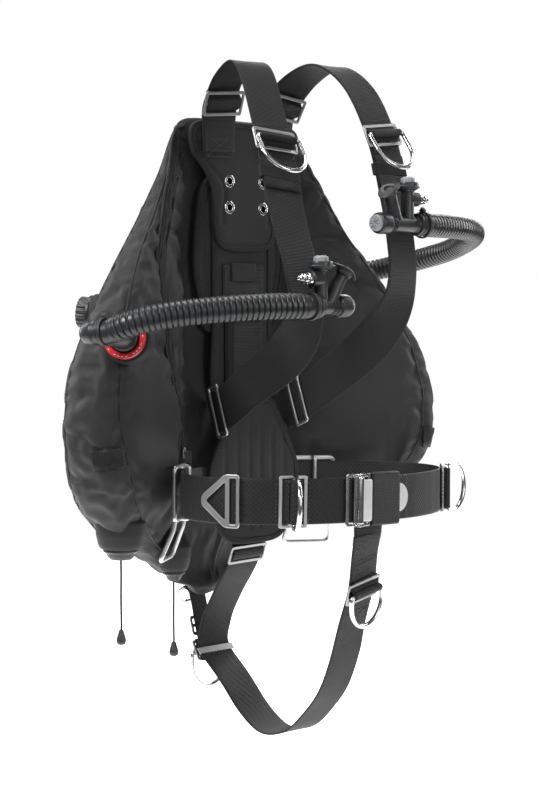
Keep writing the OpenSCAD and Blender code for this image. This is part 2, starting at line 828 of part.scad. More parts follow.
// The half-round tip plate on the belt's free end
module buckle_plate() {
    color("#e0e0de")
        on_belt(PLATE_ANGLE, PLATE_LIFT)
            linear_extrude(1.6)
                intersection() {
                    circle(PLATE_R);
                    translate([0, PLATE_R]) square([3, 2] * PLATE_R, center = true);
                }
}

// ---------------------------------------------------------------- crotch and tail straps

// The front end of the crotch strap is a loop that slides on the belt
module crotch_loop() {
    color("#1d1d1f")
        on_belt(LOOP_ANGLE)
            rotate([90, 0, 0])
                linear_extrude(44, center = true)
                    difference() {
                        polygon(rounded(web_w + 10, 12, 4));
                        polygon(rounded(web_w + 5, 7, 2));
                    }
}

module crotch_strap() {
    color("#1d1d1f") {
        webbing(CROTCH_STRAP, 4);
        on_strap(CROTCH_STRAP, REAR_RING_AT, SLEEVE_LIFT) ring_sleeve();
        on_strap(CROTCH_STRAP, FRONT_RING_AT, SLEEVE_LIFT) ring_sleeve();
    }
}

module crotch_sliders() {
    color("#a4a4a2") {
        on_strap(CROTCH_STRAP, 1.5, PLATE_LIFT, back = true) slider_plate(h = 24);
        for (u = [REAR_RING_AT, FRONT_RING_AT])
            on_strap(CROTCH_STRAP, u, PLATE_LIFT) ring_slider(h = 26);
        on_strap(TAIL_STRAP, 2.6, PLATE_LIFT) slider_plate(w = TAIL_W + 7, h = 24);
    }
}

module front_crotch_ring() {
    color("#d6d6d4")
        on_strap(CROTCH_STRAP, FRONT_RING_AT, SLEEVE_LIFT) rotate([FRONT_RING_REST, 0, 0]) d_ring(depth = 40);
}

module rear_crotch_ring() {
    color("#d6d6d4")
        on_strap(CROTCH_STRAP, REAR_RING_AT, SLEEVE_LIFT) rotate([REAR_RING_REST, 0, 0]) d_ring();
}

module tail_strap() {
    color("#1d1d1f") {
        webbing(TAIL_STRAP, 3, TAIL_W);
        on_strap(TAIL_STRAP, 1.1, SLEEVE_LIFT) ring_sleeve(TAIL_W - 2);
    }
}

module tail_ring() {
    color("#d6d6d4") on_strap(TAIL_STRAP, 1.1, SLEEVE_LIFT) rotate([TAIL_RING_REST, 0, 0]) d_ring(26, 15.5);
}

// ---------------------------------------------------------------- door handle rings
// Bent wire frames that ride on the back of the belt: the upper window takes the webbing and
// the lower loop stands out for the cylinders' tail clips.

module door_handle(angle) {
    inner = -2 * HANDLE_LIFT;
    on_belt(angle, HANDLE_LIFT) {
        wire(HANDLE_WINDOW, handle_r);
        wire(HANDLE_LOOP, handle_r, false);
        wire([[-29, 0, 0], [-29, 0, inner], [31, 0, inner], [31, 0, 0]], handle_r, false);
    }
}

module right_door_handle() {
    color("#8a8a88") door_handle(RIGHT_HANDLE_ANGLE);
}

module left_door_handle() {
    color("#8a8a88") door_handle(LEFT_HANDLE_ANGLE);
}

// ---------------------------------------------------------------- hoses and their ends

RIGHT_BEND = [-302, -80, -160];
RIGHT_OUT = [0.32, -0.945, 0.06];
LEFT_BEND = [166, 96, -108];
LEFT_OUT = [0.985, 0.02, 0.17];
BEND_OUT = 15.5;

RIGHT_HOSE = [
    RIGHT_BEND + BEND_OUT * unit(RIGHT_OUT),
    RIGHT_BEND + (BEND_OUT + 12) * unit(RIGHT_OUT),
    [-281, -130, -149], [-252, -156, -141], [-215, -181, -136], [-176, -202, -133],
    [-143, -216, -132], [-121, -222, -132], [-106, -222, -132]];

LEFT_HOSE = [
    [98, -186, -38], [114, -186, -38], [152, -180, -38], [196, -170, -39], [240, -148, -42],
    [280, -108, -48], [303, -55, -60], [306, 5, -72], [286, 58, -84], [250, 86, -92],
    [212, 97, -99],
    LEFT_BEND + (BEND_OUT + 12) * unit(LEFT_OUT),
    LEFT_BEND + BEND_OUT * unit(LEFT_OUT)];

module right_hose() {
    color("#26272a") tube(RIGHT_HOSE, 2, hose_d);
}

module left_hose() {
    color("#26272a") tube(LEFT_HOSE, 2, hose_d);
}

// An elbow: a neck up from its seat, a ball at the bend and a short outlet to the hose
module elbow(seat, face, bend, out) {
    knee = seat + 14 * unit(face);
    rod(seat + 0.4 * unit(face), knee, 12.6);
    aim(knee, face) sphere(13.6);
    rod(knee, bend, 12);
    aim(bend, out) sphere(13.8);
    rod(bend, bend + (BEND_OUT - 0.2) * unit(out), 12.6);
}

module right_elbow() {
    color("#222326") elbow(RIGHT_SEAT, RIGHT_FACE, RIGHT_BEND, RIGHT_OUT);
}

module left_elbow() {
    color("#222326") {
        elbow(LEFT_SEAT, LEFT_FACE, LEFT_BEND, LEFT_OUT);
        aim(LEFT_SEAT + 0.2 * unit(LEFT_FACE), LEFT_FACE) cylinder(h = 4, r = 22);
    }
}

// The coloured locking ring round the right valve's neck
module right_valve_ring() {
    color("#c8102e")
        aim(RIGHT_SEAT + 0.2 * unit(RIGHT_FACE), RIGHT_FACE)
            difference() {
                cylinder(h = 5, r = 24);
                translate([0, 0, -1]) cylinder(h = 8, r = 17.5);
            }
}

// Cable ties clamp each hose end on its barb
module hose_tie(p, direction) {
    aim(p, direction)
        difference() {
            union() {
                cylinder(h = 4, r = hose_d / 2 + 1.8, center = true);
                translate([0, hose_d / 2 + 2.5, 0]) cube([6, 5, 5], center = true);
            }
            cylinder(h = 6, r = hose_d / 2 + 0.7, center = true);
        }
}

module hose_ties() {
    color("#18181a") {
        hose_tie(RIGHT_HOSE[8] - [8, 0, 0], [1, 0, 0]);
        hose_tie(LEFT_HOSE[0] + [7, 0, 0], [1, 0, 0]);
        hose_tie(RIGHT_HOSE[0] + 5 * unit(RIGHT_OUT), RIGHT_OUT);
        hose_tie(LEFT_HOSE[12] + 5 * unit(LEFT_OUT), LEFT_OUT);
    }
}

// ---------------------------------------------------------------- power inflators
// Local frame: x runs from the hose end towards the exhaust button, z is up the inflator stem.

module at_right_inflator() {
    translate([-106, -222, -132]) children();
}

module at_left_inflator() {
    translate([98, -186, -38]) mirror([1, 0, 0]) children();
}

module inflator_body(length, stem, mouth) {
    difference() {
        union() {
            translate([0.1, 0, 0]) rotate([0, 90, 0]) cylinder(h = length - 0.1, r = TUBE_R);
            translate([0.1, 0, 0]) rotate([0, 90, 0]) cylinder(h = 5, r = 13);
            translate([length - 16, 0, 0]) rotate([0, 90, 0]) cylinder(h = 16, r = 12.4);
            translate([stem, 0, 0]) cylinder(h = STEM_TOP, r = 7.6);
            translate([stem, 0, STEM_TOP - 8]) cylinder(h = 8, r = 12.6);
            translate([stem, 0, NIPPLE_Z]) rotate([0, -90, 0]) cylinder(h = 16, r = 8.4);
            rod([mouth - 11, 0, 0], mouth_base(mouth), 7);
            translate(mouth_base(mouth)) sphere(7);
            rod(mouth_base(mouth), mouth_base(mouth) + 7 * unit(MOUTH_LEAN), 7);
        }
        translate([stem, 0, STEM_TOP - 7.5]) cylinder(h = 12, r = BUTTON_R + 0.4);
        translate([length - 8, 0, 0]) rotate([0, 90, 0]) cylinder(h = 20, r = EXHAUST_R + 0.4);
        translate([stem - 10, 0, NIPPLE_Z]) rotate([0, -90, 0]) cylinder(h = 20, r = 3.2);
    }
}

module inflate_button(stem) {
    translate([stem, 0, STEM_TOP - 4.2]) cylinder(h = 9.4, r = BUTTON_R);
    translate([stem, 0, STEM_TOP + 5])
        for (k = [0 : 5])
            rotate([0, 0, 60 * k]) translate([4, 0, 0]) cylinder(h = 1.2, r = 1.6);
}

module exhaust_button(length) {
    translate([length - 3.8, 0, 0]) rotate([0, 90, 0]) cylinder(h = 8, r = EXHAUST_R);
    translate([length + 4, 0, 0])
        rotate([0, 90, 0])
            for (k = [0 : 5])
                rotate([0, 0, 60 * k]) translate([4.4, 0, 0]) cube([6.4, 1.6, 1.6], center = true);
}

// The chrome quick-disconnect plug
module nipple(stem) {
    translate([stem - 10, 0, NIPPLE_Z])
        rotate([0, -90, 0])
            rotate_extrude()
                polygon([[0, 0.4], [3.1, 0.4], [3.1, 6.2], [6.6, 6.2], [6.6, 11], [4.2, 11.6], [4.2, 14],
                    [5.4, 14.6], [5.4, 17], [3.4, 18], [3.4, 23], [0, 23]]);
}

function mouth_base(mouth) = [mouth, -4, 27];

// The oral mouthpiece with its oval bite guard
module mouthpiece(mouth) {
    aim(mouth_base(mouth) + 7.2 * unit(MOUTH_LEAN), MOUTH_LEAN, [0, 1, 0])
        difference() {
            union() {
                cylinder(h = 6, r1 = 8, r2 = 10);
                translate([0, 0, 6]) cylinder(h = 3, r = 16);
            }
            translate([0, 0, 1]) cylinder(h = 20, r = 5.5);
        }
}

module right_inflator() {
    color("#25262a") at_right_inflator() inflator_body(RIGHT_LENGTH, RIGHT_STEM, RIGHT_MOUTH);
}

module left_inflator() {
    color("#25262a") at_left_inflator() inflator_body(LEFT_LENGTH, LEFT_STEM, LEFT_MOUTH);
}

module right_inflate_button() {
    color("#a3a7ab") at_right_inflator() inflate_button(RIGHT_STEM);
}

module left_inflate_button() {
    color("#a3a7ab") at_left_inflator() inflate_button(LEFT_STEM);
}

module right_deflate_button() {
    color("#a3a7ab") at_right_inflator() exhaust_button(RIGHT_LENGTH);
}

module left_deflate_button() {
    color("#a3a7ab") at_left_inflator() exhaust_button(LEFT_LENGTH);
}

module inflator_nipples() {
    color("#e2e2e0") {
        at_right_inflator() nipple(RIGHT_STEM);
        at_left_inflator() nipple(LEFT_STEM);
    }
}

module mouthpieces() {
    color("#2a2b2f") {
        at_right_inflator() mouthpiece(RIGHT_MOUTH);
        at_left_inflator() mouthpiece(LEFT_MOUTH);
    }
}

// ---------------------------------------------------------------- valves and pull cords

// Ribbed cap of the over-pressure valve on the back
module relief_valve() {
    color("#2c2d31")
        aim(RELIEF_SEAT + 0.2 * unit(RELIEF_FACE), RELIEF_FACE) {
            cylinder(h = 4, r = 20);
            translate([0, 0, 4])
                linear_extrude(12)
                    polygon([for (k = [0 : 71]) (17 + (k % 4 < 2 ? 0.8 : 0)) * [cos(5 * k), sin(5 * k)]]);
        }
}

// A domed pull-dump valve whose cord comes out at its tip
module dump_valve(seat, face, r = 20) {
    aim(seat + 0.2 * unit(face), face)
        difference() {
            rotate_extrude()
                polygon([[0, 0], [r, 0], [r, 3], [r - 3, 4], [r - 5, 9], [r - 8, 12], [0, 12]]);
            translate([0, 0, -1]) cylinder(h = 20, r = CORD_BORE);
        }
}

module reserve_dump_valve() {
    color("#2c2d31") dump_valve(RESERVE_DUMP_SEAT, DUMP_FACE, 13);
}

module main_dump_valve() {
    color("#2c2d31") dump_valve(MAIN_DUMP_SEAT, DUMP_FACE);
}

// Each cord starts inside its valve's bore and hangs to its toggle
module pull_cord(top, drop) {
    color("#18181a")
        translate(top - [0, 0, drop]) cylinder(h = drop, r = cord_d / 2, $fn = 16);
}

module toggle(top, drop) {
    color("#1a1a1c")
        translate(top - [0, 0, drop + 17])
            rotate_extrude()
                polygon([[0, 0], [3, 0], [5.2, 2], [5.6, 5], [4.8, 9], [3, 15], [2.4, 17], [0, 17]]);
}

MAIN_CORD_TOP = MAIN_DUMP_SEAT - [0, 0, 8];
RESERVE_CORD_TOP = RESERVE_DUMP_SEAT - [0, 0, 8];

module main_dump_cord() { pull_cord(MAIN_CORD_TOP, MAIN_CORD_DROP); }
module main_dump_toggle() { toggle(MAIN_CORD_TOP, MAIN_CORD_DROP); }
module reserve_dump_cord() { pull_cord(RESERVE_CORD_TOP, RESERVE_CORD_DROP); }
module reserve_dump_toggle() { toggle(RESERVE_CORD_TOP, RESERVE_CORD_DROP); }

// ---------------------------------------------------------------- build

wing_cover();
main_bladder();
reserve_bladder();
wing_zipper();
zipper_pull();
wing_side_tabs();
top_pad();
spine_panel();
spine_slider();
lumbar_pad();
weight_pocket();
grommets();
right_shoulder_strap();
left_shoulder_strap();
webbing_keepers();
top_tri_glides();
right_shoulder_slider();
left_shoulder_slider();
right_shoulder_ring();
left_shoulder_ring();
lumbar_sliders();
belt_right();
belt_left();
triangle_slider();
belt_ring_sliders();
right_belt_ring();
left_belt_ring();
buckle_frame();
buckle_lever();
buckle_plate();
crotch_loop();
right_door_handle();
left_door_handle();
crotch_strap();
crotch_sliders();
front_crotch_ring();
rear_crotch_ring();
tail_strap();
tail_ring();
right_valve_ring();
right_elbow();
right_hose();
hose_ties();
right_inflator();
right_inflate_button();
right_deflate_button();
left_elbow();
left_hose();
left_inflator();
left_inflate_button();
left_deflate_button();
inflator_nipples();
mouthpieces();
relief_valve();
main_dump_valve();
main_dump_cord();
main_dump_toggle();
reserve_dump_valve();
reserve_dump_cord();
reserve_dump_toggle();
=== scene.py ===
"""Looks of a sidemount buoyancy compensator: an air wing on a black webbing harness."""
import math

import bpy
import bmesh
import numpy as np
from mathutils import Matrix, Vector


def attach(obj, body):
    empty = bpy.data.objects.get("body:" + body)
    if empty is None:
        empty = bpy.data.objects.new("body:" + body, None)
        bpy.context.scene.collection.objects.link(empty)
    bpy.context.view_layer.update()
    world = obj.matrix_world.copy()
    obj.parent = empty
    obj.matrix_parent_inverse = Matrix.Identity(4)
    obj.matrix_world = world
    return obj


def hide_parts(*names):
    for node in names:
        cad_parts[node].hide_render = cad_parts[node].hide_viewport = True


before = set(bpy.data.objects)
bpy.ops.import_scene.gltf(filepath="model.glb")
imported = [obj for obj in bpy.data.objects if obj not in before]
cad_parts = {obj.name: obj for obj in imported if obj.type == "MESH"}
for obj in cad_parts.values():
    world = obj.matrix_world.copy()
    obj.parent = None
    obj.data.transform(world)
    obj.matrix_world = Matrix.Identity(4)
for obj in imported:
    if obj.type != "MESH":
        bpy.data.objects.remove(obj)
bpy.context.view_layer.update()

MM = 0.001
HARNESS = "harness"

# ---------------------------------------------------------------- sizes shared with the CAD, in mm

WEB_W, WEB_T = 50.0, 2.4
RING_R, HANDLE_R, HOSE_D, CORD_D = 2.6, 2.5, 28.0, 2.4
PAD_T, SPINE_Y, SPINE_T, POCKET_T, LUMBAR_Y = 6.0, 8.0, 3.0, 6.0, -15.0
GROMMET_DX, GROMMET_DZ, GROMMET_R = 54.0, 31.0, 4.0
GAP, PLATE_T, SLIDER_BAR, FOLD_T, SLEEVE_T = 0.4, 2.4, 4.0, 1.8, 1.7
PLATE_LIFT = WEB_T / 2 + GAP + 0.2
GLIDE_LIFT = GAP + 4.1
SLEEVE_LIFT = WEB_T / 2 + GAP + PLATE_T + GAP + RING_R + FOLD_T
WING_HALF, CENTRE_BAND, LEFT_RISE, RIGHT_SAG = 272.0, 82.0, 22.0, 9.0
BELT_A, BELT_B, BELT_BACK, BELT_Z, TORSO_Y = 176.0, 112.0, 118.0, -342.0, -115.0
BELT_MEET, BELT_END, TAIL_W = -10.0, 168.0, 25.0

# Each row: height, half width as a share of the widest, depth of the middle and of the edge,
# thickness at the middle and near the edge.
WING = np.array([
    [90, 0.26, 27, 22, 8, 5], [82, 0.33, 29, 21, 20, 10], [60, 0.39, 34, 16, 30, 16],
    [17, 0.47, 41, 8, 38, 34], [-40, 0.59, 42, 2, 40, 66], [-109, 0.78, 43, -12, 42, 90],
    [-180, 0.945, 44, -24, 44, 110], [-240, 1.01, 40, -28, 44, 124], [-290, 1.0, 38, -28, 42, 130],
    [-335, 0.95, 40, -22, 40, 122], [-372, 0.82, 48, -6, 38, 98], [-402, 0.61, 60, 24, 36, 62],
    [-436, 0.36, 70, 54, 30, 38], [-468, 0.15, 74, 70, 20, 20], [-486, 0.04, 75, 74, 8, 8]])

# Strap routes: a place and the direction of the strap's width there.
RIGHT_STRAP = np.array([
    [-46, -1.7, 48, -1, 0, 0], [-47, -1.7, 72, -1, 0, 0], [-50, -9, 108, -0.9, 0.2, -0.42],
    [-54, -32, 136, -0.95, 0.2, -0.22], [-60, -66, 145, -0.98, 0.1, 0], [-72, -98, 120, -0.99, 0.1, 0],
    [-82, -132, 50, -0.99, 0.1, 0], [-91, -154, 0, -0.99, 0.08, 0], [-99, -178, -50, -0.99, 0.06, 0.02],
    [-102, -198, -100, -0.97, 0.05, 0.1], [-101, -200, -142, -0.9, 0.05, 0.3],
    [-98, -170, -184, -0.55, 0.3, 0.7], [-85, -95, -222, -0.1, 0.5, 0.86],
    [-66, -34, -250, 0, 0.5, 0.86], [-61, -8, -258, 0, 0.4, 0.92], [-54, 1, -266, 0, 0.3, 0.95]])
LEFT_STRAP = np.array([
    [46, -1.7, 48, -1, 0, 0], [47, -1.7, 72, -1, 0, 0], [50, -9, 110, -0.92, -0.1, 0.4],
    [55, -38, 138, -0.98, 0, 0.15], [62, -76, 150, -1, 0.03, 0], [74, -112, 124, -1, 0.03, 0],
    [85, -138, 66, -1, 0.03, 0], [87, -154, 10, -1, -0.03, 0], [85, -167, -40, -0.99, -0.06, 0],
    [87, -171, -90, -0.98, -0.06, 0.05], [88, -160, -132, -0.9, 0, 0.35],
    [84, -122, -176, -0.5, 0.3, 0.75], [73, -72, -214, -0.1, 0.45, 0.86],
    [64, -34, -241, 0.05, 0.45, 0.86], [63, -9, -252, 0.05, 0.4, 0.88], [54, 1, -260, 0, 0.3, 0.95]])
CROTCH_STRAP = np.array([
    [-3, -6.5, -388, 1, 0, 0], [-3, -5, -412, 1, 0, 0], [-2, 8, -444, 1, 0, 0], [0, 38, -484, 1, 0, 0],
    [0, 57, -520, 1, 0, 0], [0, 60, -550, 1, 0, 0], [0, 24, -580, 1, 0, 0], [0, -8, -611, 1, 0, 0],
    [0, -42, -633, 1, 0, 0], [0, -80, -630, 1, 0, 0], [-1, -116, -606, 1, 0.02, 0],
    [-3, -150, -568, 1, 0.04, 0], [-6, -170, -526, 1, 0.06, 0], [-10, -184, -490, 1, 0.12, 0],
    [-14, -202, -448, 1, 0.16, 0], [-20, -214, -405, 1, 0.16, 0], [-21, -219, -384, 1, 0.12, 0]])
TAIL_STRAP = np.array([
    [0, 92, -440, 1, 0, 0], [0, 92, -474, 1, 0, 0], [0, 86, -506, 1, 0, 0], [0, 78, -534, 1, 0, 0],
    [0, 74, -545, 1, 0, 0]])
TOP_GLIDE_AT, RING_AT, KEEPER_AT, LUMBAR_AT, REAR_RING_AT, FRONT_RING_AT = 1.95, 6, 6.75, 13.3, 5, 14

# How closely bent wire is cut into rings, and how deep the panels' stitched channels are.
WIRE_STEP, GROOVE_DEPTH = 1.5, 1.6

# Half outlines of the panels, from top to bottom.
TOP_PAD_HALF = [[0, 84], [48, 85], [77, 82], [87, 70], [83, 48], [66, 30], [53, 10], [49, -14],
                [48, -42], [40, -60], [20, -66], [0, -66]]
SPINE_HALF = [[0, 60], [30, 60], [42, 48], [46, 20], [47, -60], [47, -150], [47, -236], [0, -240]]
LUMBAR_HALF = [[0, -240], [24, -241], [35, -251], [50, -280], [69, -316], [71, -345], [66, -372],
               [52, -400], [34, -412], [0, -414]]
POCKET_HALF = [[0, 30], [38, 26], [62, 4], [70, -36], [73, -84], [64, -128], [58, -156], [30, -166],
               [0, -168]]

# Hoses and their ends.
BEND_OUT = 15.5
RIGHT_BEND, RIGHT_OUT = np.array([-302, -80, -160.0]), np.array([0.32, -0.945, 0.06])
LEFT_BEND, LEFT_OUT = np.array([166, 96, -108.0]), np.array([0.985, 0.02, 0.17])
RIGHT_FACE, LEFT_FACE = np.array([-0.8, -0.58, 0.15]), np.array([0.1, 0.99, 0.1])
RELIEF_FACE, DUMP_FACE = np.array([-0.55, 0.82, 0.1]), np.array([0, 0, -1.0])
RIGHT_INFLATOR_AT, LEFT_INFLATOR_AT = [-106, -222, -132], [98, -186, -38]
STEM_TOP, NIPPLE_Z, TUBE_R, BUTTON_R, EXHAUST_R = 48.0, 29.0, 9.0, 8.0, 9.5
MOUTH_LEAN = np.array([11, -4, 16.0])
MAIN_CORD_DROP, RESERVE_CORD_DROP, CORD_START = 84.0, 76.0, 8.0

# Courses on the wing's skin: row and angle round it, where 0 is the wearer's left edge and -90 the front.
ZIP_COURSE = [[1.6, 212], [2.8, 214], [4.2, 223], [5.3, 244], [6, 252], [7.4, 259], [8.5, 257]]
RIGHT_TAB = [[8.05, 186], [8.05, 195], [8.05, 204], [8.05, 213]]
LEFT_TAB = [[8.2, -8], [8.2, -15], [8.2, -22], [8.2, -30]]
RIGHT_GUSSET = [[2.2, 200], [3.4, 190], [4.4, 190], [5.2, 200], [6.3, 212], [7.5, 215], [8.7, 222],
                [9.6, 224], [10.8, 230], [12, 236]]
BACK_GUSSET = [[2.2, 150], [4.4, 160], [6.3, 152], [8.7, 146], [10.8, 140], [12, 132]]
LEFT_GUSSET = [[2.2, -24], [4.4, -24], [6.3, -30], [7.5, -32], [8.7, -34], [10.8, -42], [12, -52]]
LEFT_BACK_GUSSET = [[2.2, 30], [4.4, 20], [6.3, 28], [8.7, 34], [10.8, 42], [12, 50]]
BACK_YOKE = [[3.9, 166], [4.7, 140], [5.3, 112], [5.5, 90], [5.3, 68], [4.7, 40], [3.9, 14]]
BACK_HEM = [[9.2, 150], [9.9, 128], [10.2, 108], [10.3, 90], [10.2, 72], [9.9, 52], [9.2, 30]]
RIGHT_EDGE = [[1.2, 168], [3, 164], [5, 166], [7, 168], [9, 166], [11, 158], [12.6, 140]]
LEFT_EDGE = [[u, 180 - angle] for u, angle in RIGHT_EDGE]
SIDE_YOKE = [[7.55, 165], [7.6, 174], [7.7, 182], [8.1, 200], [8.3, 214]]


# ---------------------------------------------------------------- curves and places

def unit(v):
    v = np.asarray(v, float)
    return v / np.linalg.norm(v)


def span(a, b, c, d, t):
    """One stretch of a smooth curve from b to c, with a and d beyond its ends."""
    return 0.5 * (2 * b + (c - a) * t + (2 * a - 5 * b + 4 * c - d) * t * t
                  + (3 * b - a - 3 * c + d) * t * t * t)


def along(rows, u):
    """The row at u, counted in spans from the first row."""
    rows = np.asarray(rows, float)
    last = len(rows) - 1
    i = min(max(int(math.floor(u)), 0), last - 1)
    before = rows[i - 1] if i > 0 else 2 * rows[0] - rows[1]
    after = rows[i + 2] if i + 2 <= last else 2 * rows[last] - rows[last - 1]
    return span(before, rows[i], rows[i + 1], after, u - i)


def closed_curve(points, steps):
    """Points of a smooth closed outline."""
    pts = np.asarray(points, float)
    n = len(pts)
    return np.array([span(pts[i - 1], pts[i], pts[(i + 1) % n], pts[(i + 2) % n], k / steps)
                     for i in range(n) for k in range(steps)])


def mirrored(half):
    """A half outline from top to bottom, made whole about x = 0."""
    return half + [[-x, z] for x, z in reversed(half) if x != 0]


def smooth_path(points, step):
    """Evenly spaced points of the smooth curve through the given ones."""
    dense = np.array([along(points, k / 24) for k in range((len(points) - 1) * 24 + 1)])
    return even(dense, step)


def even(points, step):
    """The same line with points about a step apart."""
    lengths = run_lengths(points)
    count = max(int(round(lengths[-1] / step)), 2)
    at = np.linspace(0, lengths[-1], count + 1)
    return np.array([np.interp(at, lengths, points[:, k]) for k in range(points.shape[1])]).T


def run_lengths(points):
    return np.concatenate([[0], np.cumsum(np.linalg.norm(np.diff(points[:, :3], axis=0), axis=1))])


def filleted(points, radius, closed, steps=5):
    """A line of straight runs with each corner rounded."""
    pts = [np.asarray(p, float) for p in points]
    n, out = len(pts), []
    for i, p in enumerate(pts):
        if not closed and i in (0, n - 1):
            out.append(p)
            continue
        before, after = pts[i - 1], pts[(i + 1) % n]
        cut = min(radius, 0.45 * np.linalg.norm(before - p), 0.45 * np.linalg.norm(after - p))
        a, b = p + cut * unit(before - p), p + cut * unit(after - p)
        for k in range(steps + 1):
            t = k / steps
            out.append((1 - t) ** 2 * a + 2 * t * (1 - t) * p + t * t * b)
    return np.array(out)


def flat_fillet(points, radius, closed, steps=5):
    """A flat line with its corners rounded."""
    return filleted([[*p, 0] for p in points], radius, closed, steps)[:, :2]


def turns(count):
    """Angles evenly spaced round a circle, in radians."""
    return np.linspace(0, 2 * math.pi, count, endpoint=False)


def strap_axes(rows, u):
    """Place, width, run and face directions of a strap at u."""
    r = along(rows, u)
    run = unit((along(rows, u + 0.02) - along(rows, u - 0.02))[:3])
    across = unit(r[3:] - (r[3:] @ run) * run)
    return r[:3], across, run, np.cross(across, run)


def axes_matrix(place, x, y, z):
    m = np.eye(4)
    m[:3, 0], m[:3, 1], m[:3, 2], m[:3, 3] = x, y, z, place
    return m


def on_strap(rows, u, lift=0.0, back=False):
    """x across the strap, y along it and z off its face."""
    place, across, run, face = strap_axes(rows, u)
    side = -1 if back else 1
    return axes_matrix(place + lift * side * face, side * across, run, side * face)


def aim(place, direction, ref=(0, 0, 1)):
    """z along a direction, with x level or as near as can be."""
    z = unit(direction)
    x = unit(np.cross((0, 1, 0) if abs(z[2]) > 0.99 else ref, z))
    return axes_matrix(np.asarray(place, float), x, np.cross(z, x), z)


def shift(x=0.0, y=0.0, z=0.0):
    m = np.eye(4)
    m[:3, 3] = x, y, z
    return m


def turn(degrees, axis):
    return np.array(Matrix.Rotation(math.radians(degrees), 4, axis))


def moved(points, place):
    points = np.asarray(points, float)
    return points @ place[:3, :3].T + place[:3, 3]


def belt_row(angle):
    """A row of the belt's ellipse, where angle 0 is its front."""
    s, c = math.sin(math.radians(angle)), math.cos(math.radians(angle))
    depth = BELT_B if c > 0 else BELT_BACK
    return [BELT_A * s, TORSO_Y - depth * c, BELT_Z - 3 * (1 + s), 0, 0, -1]


def belt_rows(start, end, count):
    return np.array([belt_row(a) for a in np.linspace(start, end, count + 1)])


def on_belt(angle, lift=0.0):
    return on_strap(belt_rows(angle - 2, angle + 2, 2), 1, lift)


# ---------------------------------------------------------------- materials

def math_node(tree, operation, a, b=None, c=None):
    node = tree.nodes.new("ShaderNodeMath")
    node.operation = operation
    for socket, value in zip(node.inputs, (a, b, c)):
        if value is None:
            continue
        if isinstance(value, (int, float)):
            socket.default_value = value
        else:
            tree.links.new(value, socket)
    return node.outputs[0]


def noise(tree, source, scale, detail):
    node = tree.nodes.new("ShaderNodeTexNoise")
    tree.links.new(source, node.inputs["Vector"])
    node.inputs["Scale"].default_value = scale
    node.inputs["Detail"].default_value = detail
    node.inputs["Roughness"].default_value = 0.6
    return node.outputs[0]


def tint(tree, value, low, high):
    """A colour between two, by a value from 0 to 1."""
    node = tree.nodes.new("ShaderNodeMix")
    node.data_type = "RGBA"
    tree.links.new(value, node.inputs["Factor"])
    node.inputs["A"].default_value = (*low, 1)
    node.inputs["B"].default_value = (*high, 1)
    return node.outputs["Result"]


def bump(tree, height, distance, strength=1.0, under=None):
    node = tree.nodes.new("ShaderNodeBump")
    node.inputs["Strength"].default_value = strength
    node.inputs["Distance"].default_value = distance
    tree.links.new(height, node.inputs["Height"])
    if under is not None:
        tree.links.new(under, node.inputs["Normal"])
    return node.outputs[0]


def blank(name, **values):
    """A new material with the given values on its shader's sockets."""
    material = bpy.data.materials.new(name)
    material.use_nodes = True
    tree = material.node_tree
    shader = tree.nodes["Principled BSDF"]
    for socket, value in values.items():
        shader.inputs[socket.replace("_", " ")].default_value = value
    coordinates = tree.nodes.new("ShaderNodeTexCoord")
    return material, tree, shader, coordinates


def shade(colour, factor):
    return tuple(min(c * factor, 1.0) for c in colour)


def woven(name, colour, across, run, depth, ribbed, contrast, roughness, sheen):
    """Cloth woven at a real pitch, in mm: cells on a grid, or cross ribs where ribbed is 1. By contrast, its
    colour is painted lighter on the thread tops as a painted sheen, and darker in the hollows between them as
    painted shade.
    """
    material, tree, shader, coordinates = blank(
        name, Roughness=roughness, Sheen_Weight=sheen, Sheen_Roughness=0.45, Specular_IOR_Level=0.22)
    shader.inputs["Sheen Tint"].default_value = (0.75, 0.78, 0.85, 1)
    split = tree.nodes.new("ShaderNodeSeparateXYZ")
    tree.links.new(coordinates.outputs["UV"], split.inputs[0])
    u = math_node(tree, "SINE", math_node(tree, "MULTIPLY", split.outputs[0], math.pi / across))
    v = math_node(tree, "SINE", math_node(tree, "MULTIPLY", split.outputs[1], math.pi / run))
    cells = math_node(tree, "MULTIPLY_ADD", math_node(tree, "MULTIPLY", u, v), 0.5, 0.5)
    ribs = math_node(tree, "MULTIPLY", math_node(tree, "ABSOLUTE", v),
                     math_node(tree, "MULTIPLY_ADD", math_node(tree, "ABSOLUTE", u), 0.3, 0.7))
    height = math_node(tree, "ADD", math_node(tree, "MULTIPLY", cells, 1 - ribbed),
                       math_node(tree, "MULTIPLY", ribs, ribbed))
    fuzz = noise(tree, coordinates.outputs["Object"], 900, 2)
    wear = noise(tree, coordinates.outputs["Object"], 14, 5)
    # Painted sheen and painted shade: contrast times the weave's height lightens the thread tops and darkens
    # the hollows; wear and fuzz add random mottling.
    mottle_and_sheen = math_node(tree, "MULTIPLY_ADD", height, contrast,
                    math_node(tree, "MULTIPLY_ADD", wear, 0.45, math_node(tree, "MULTIPLY", fuzz, 0.2)))
    tree.links.new(tint(tree, mottle_and_sheen, shade(colour, 0.35), shade(colour, 1.7)), shader.inputs["Base Color"])
    tree.links.new(math_node(tree, "MULTIPLY_ADD", wear, 0.2, roughness - 0.1), shader.inputs["Roughness"])
    soft = bump(tree, fuzz, 0.0002, 0.5)
    tree.links.new(bump(tree, height, depth * MM, 1.0, soft), shader.inputs["Normal"])
    return material


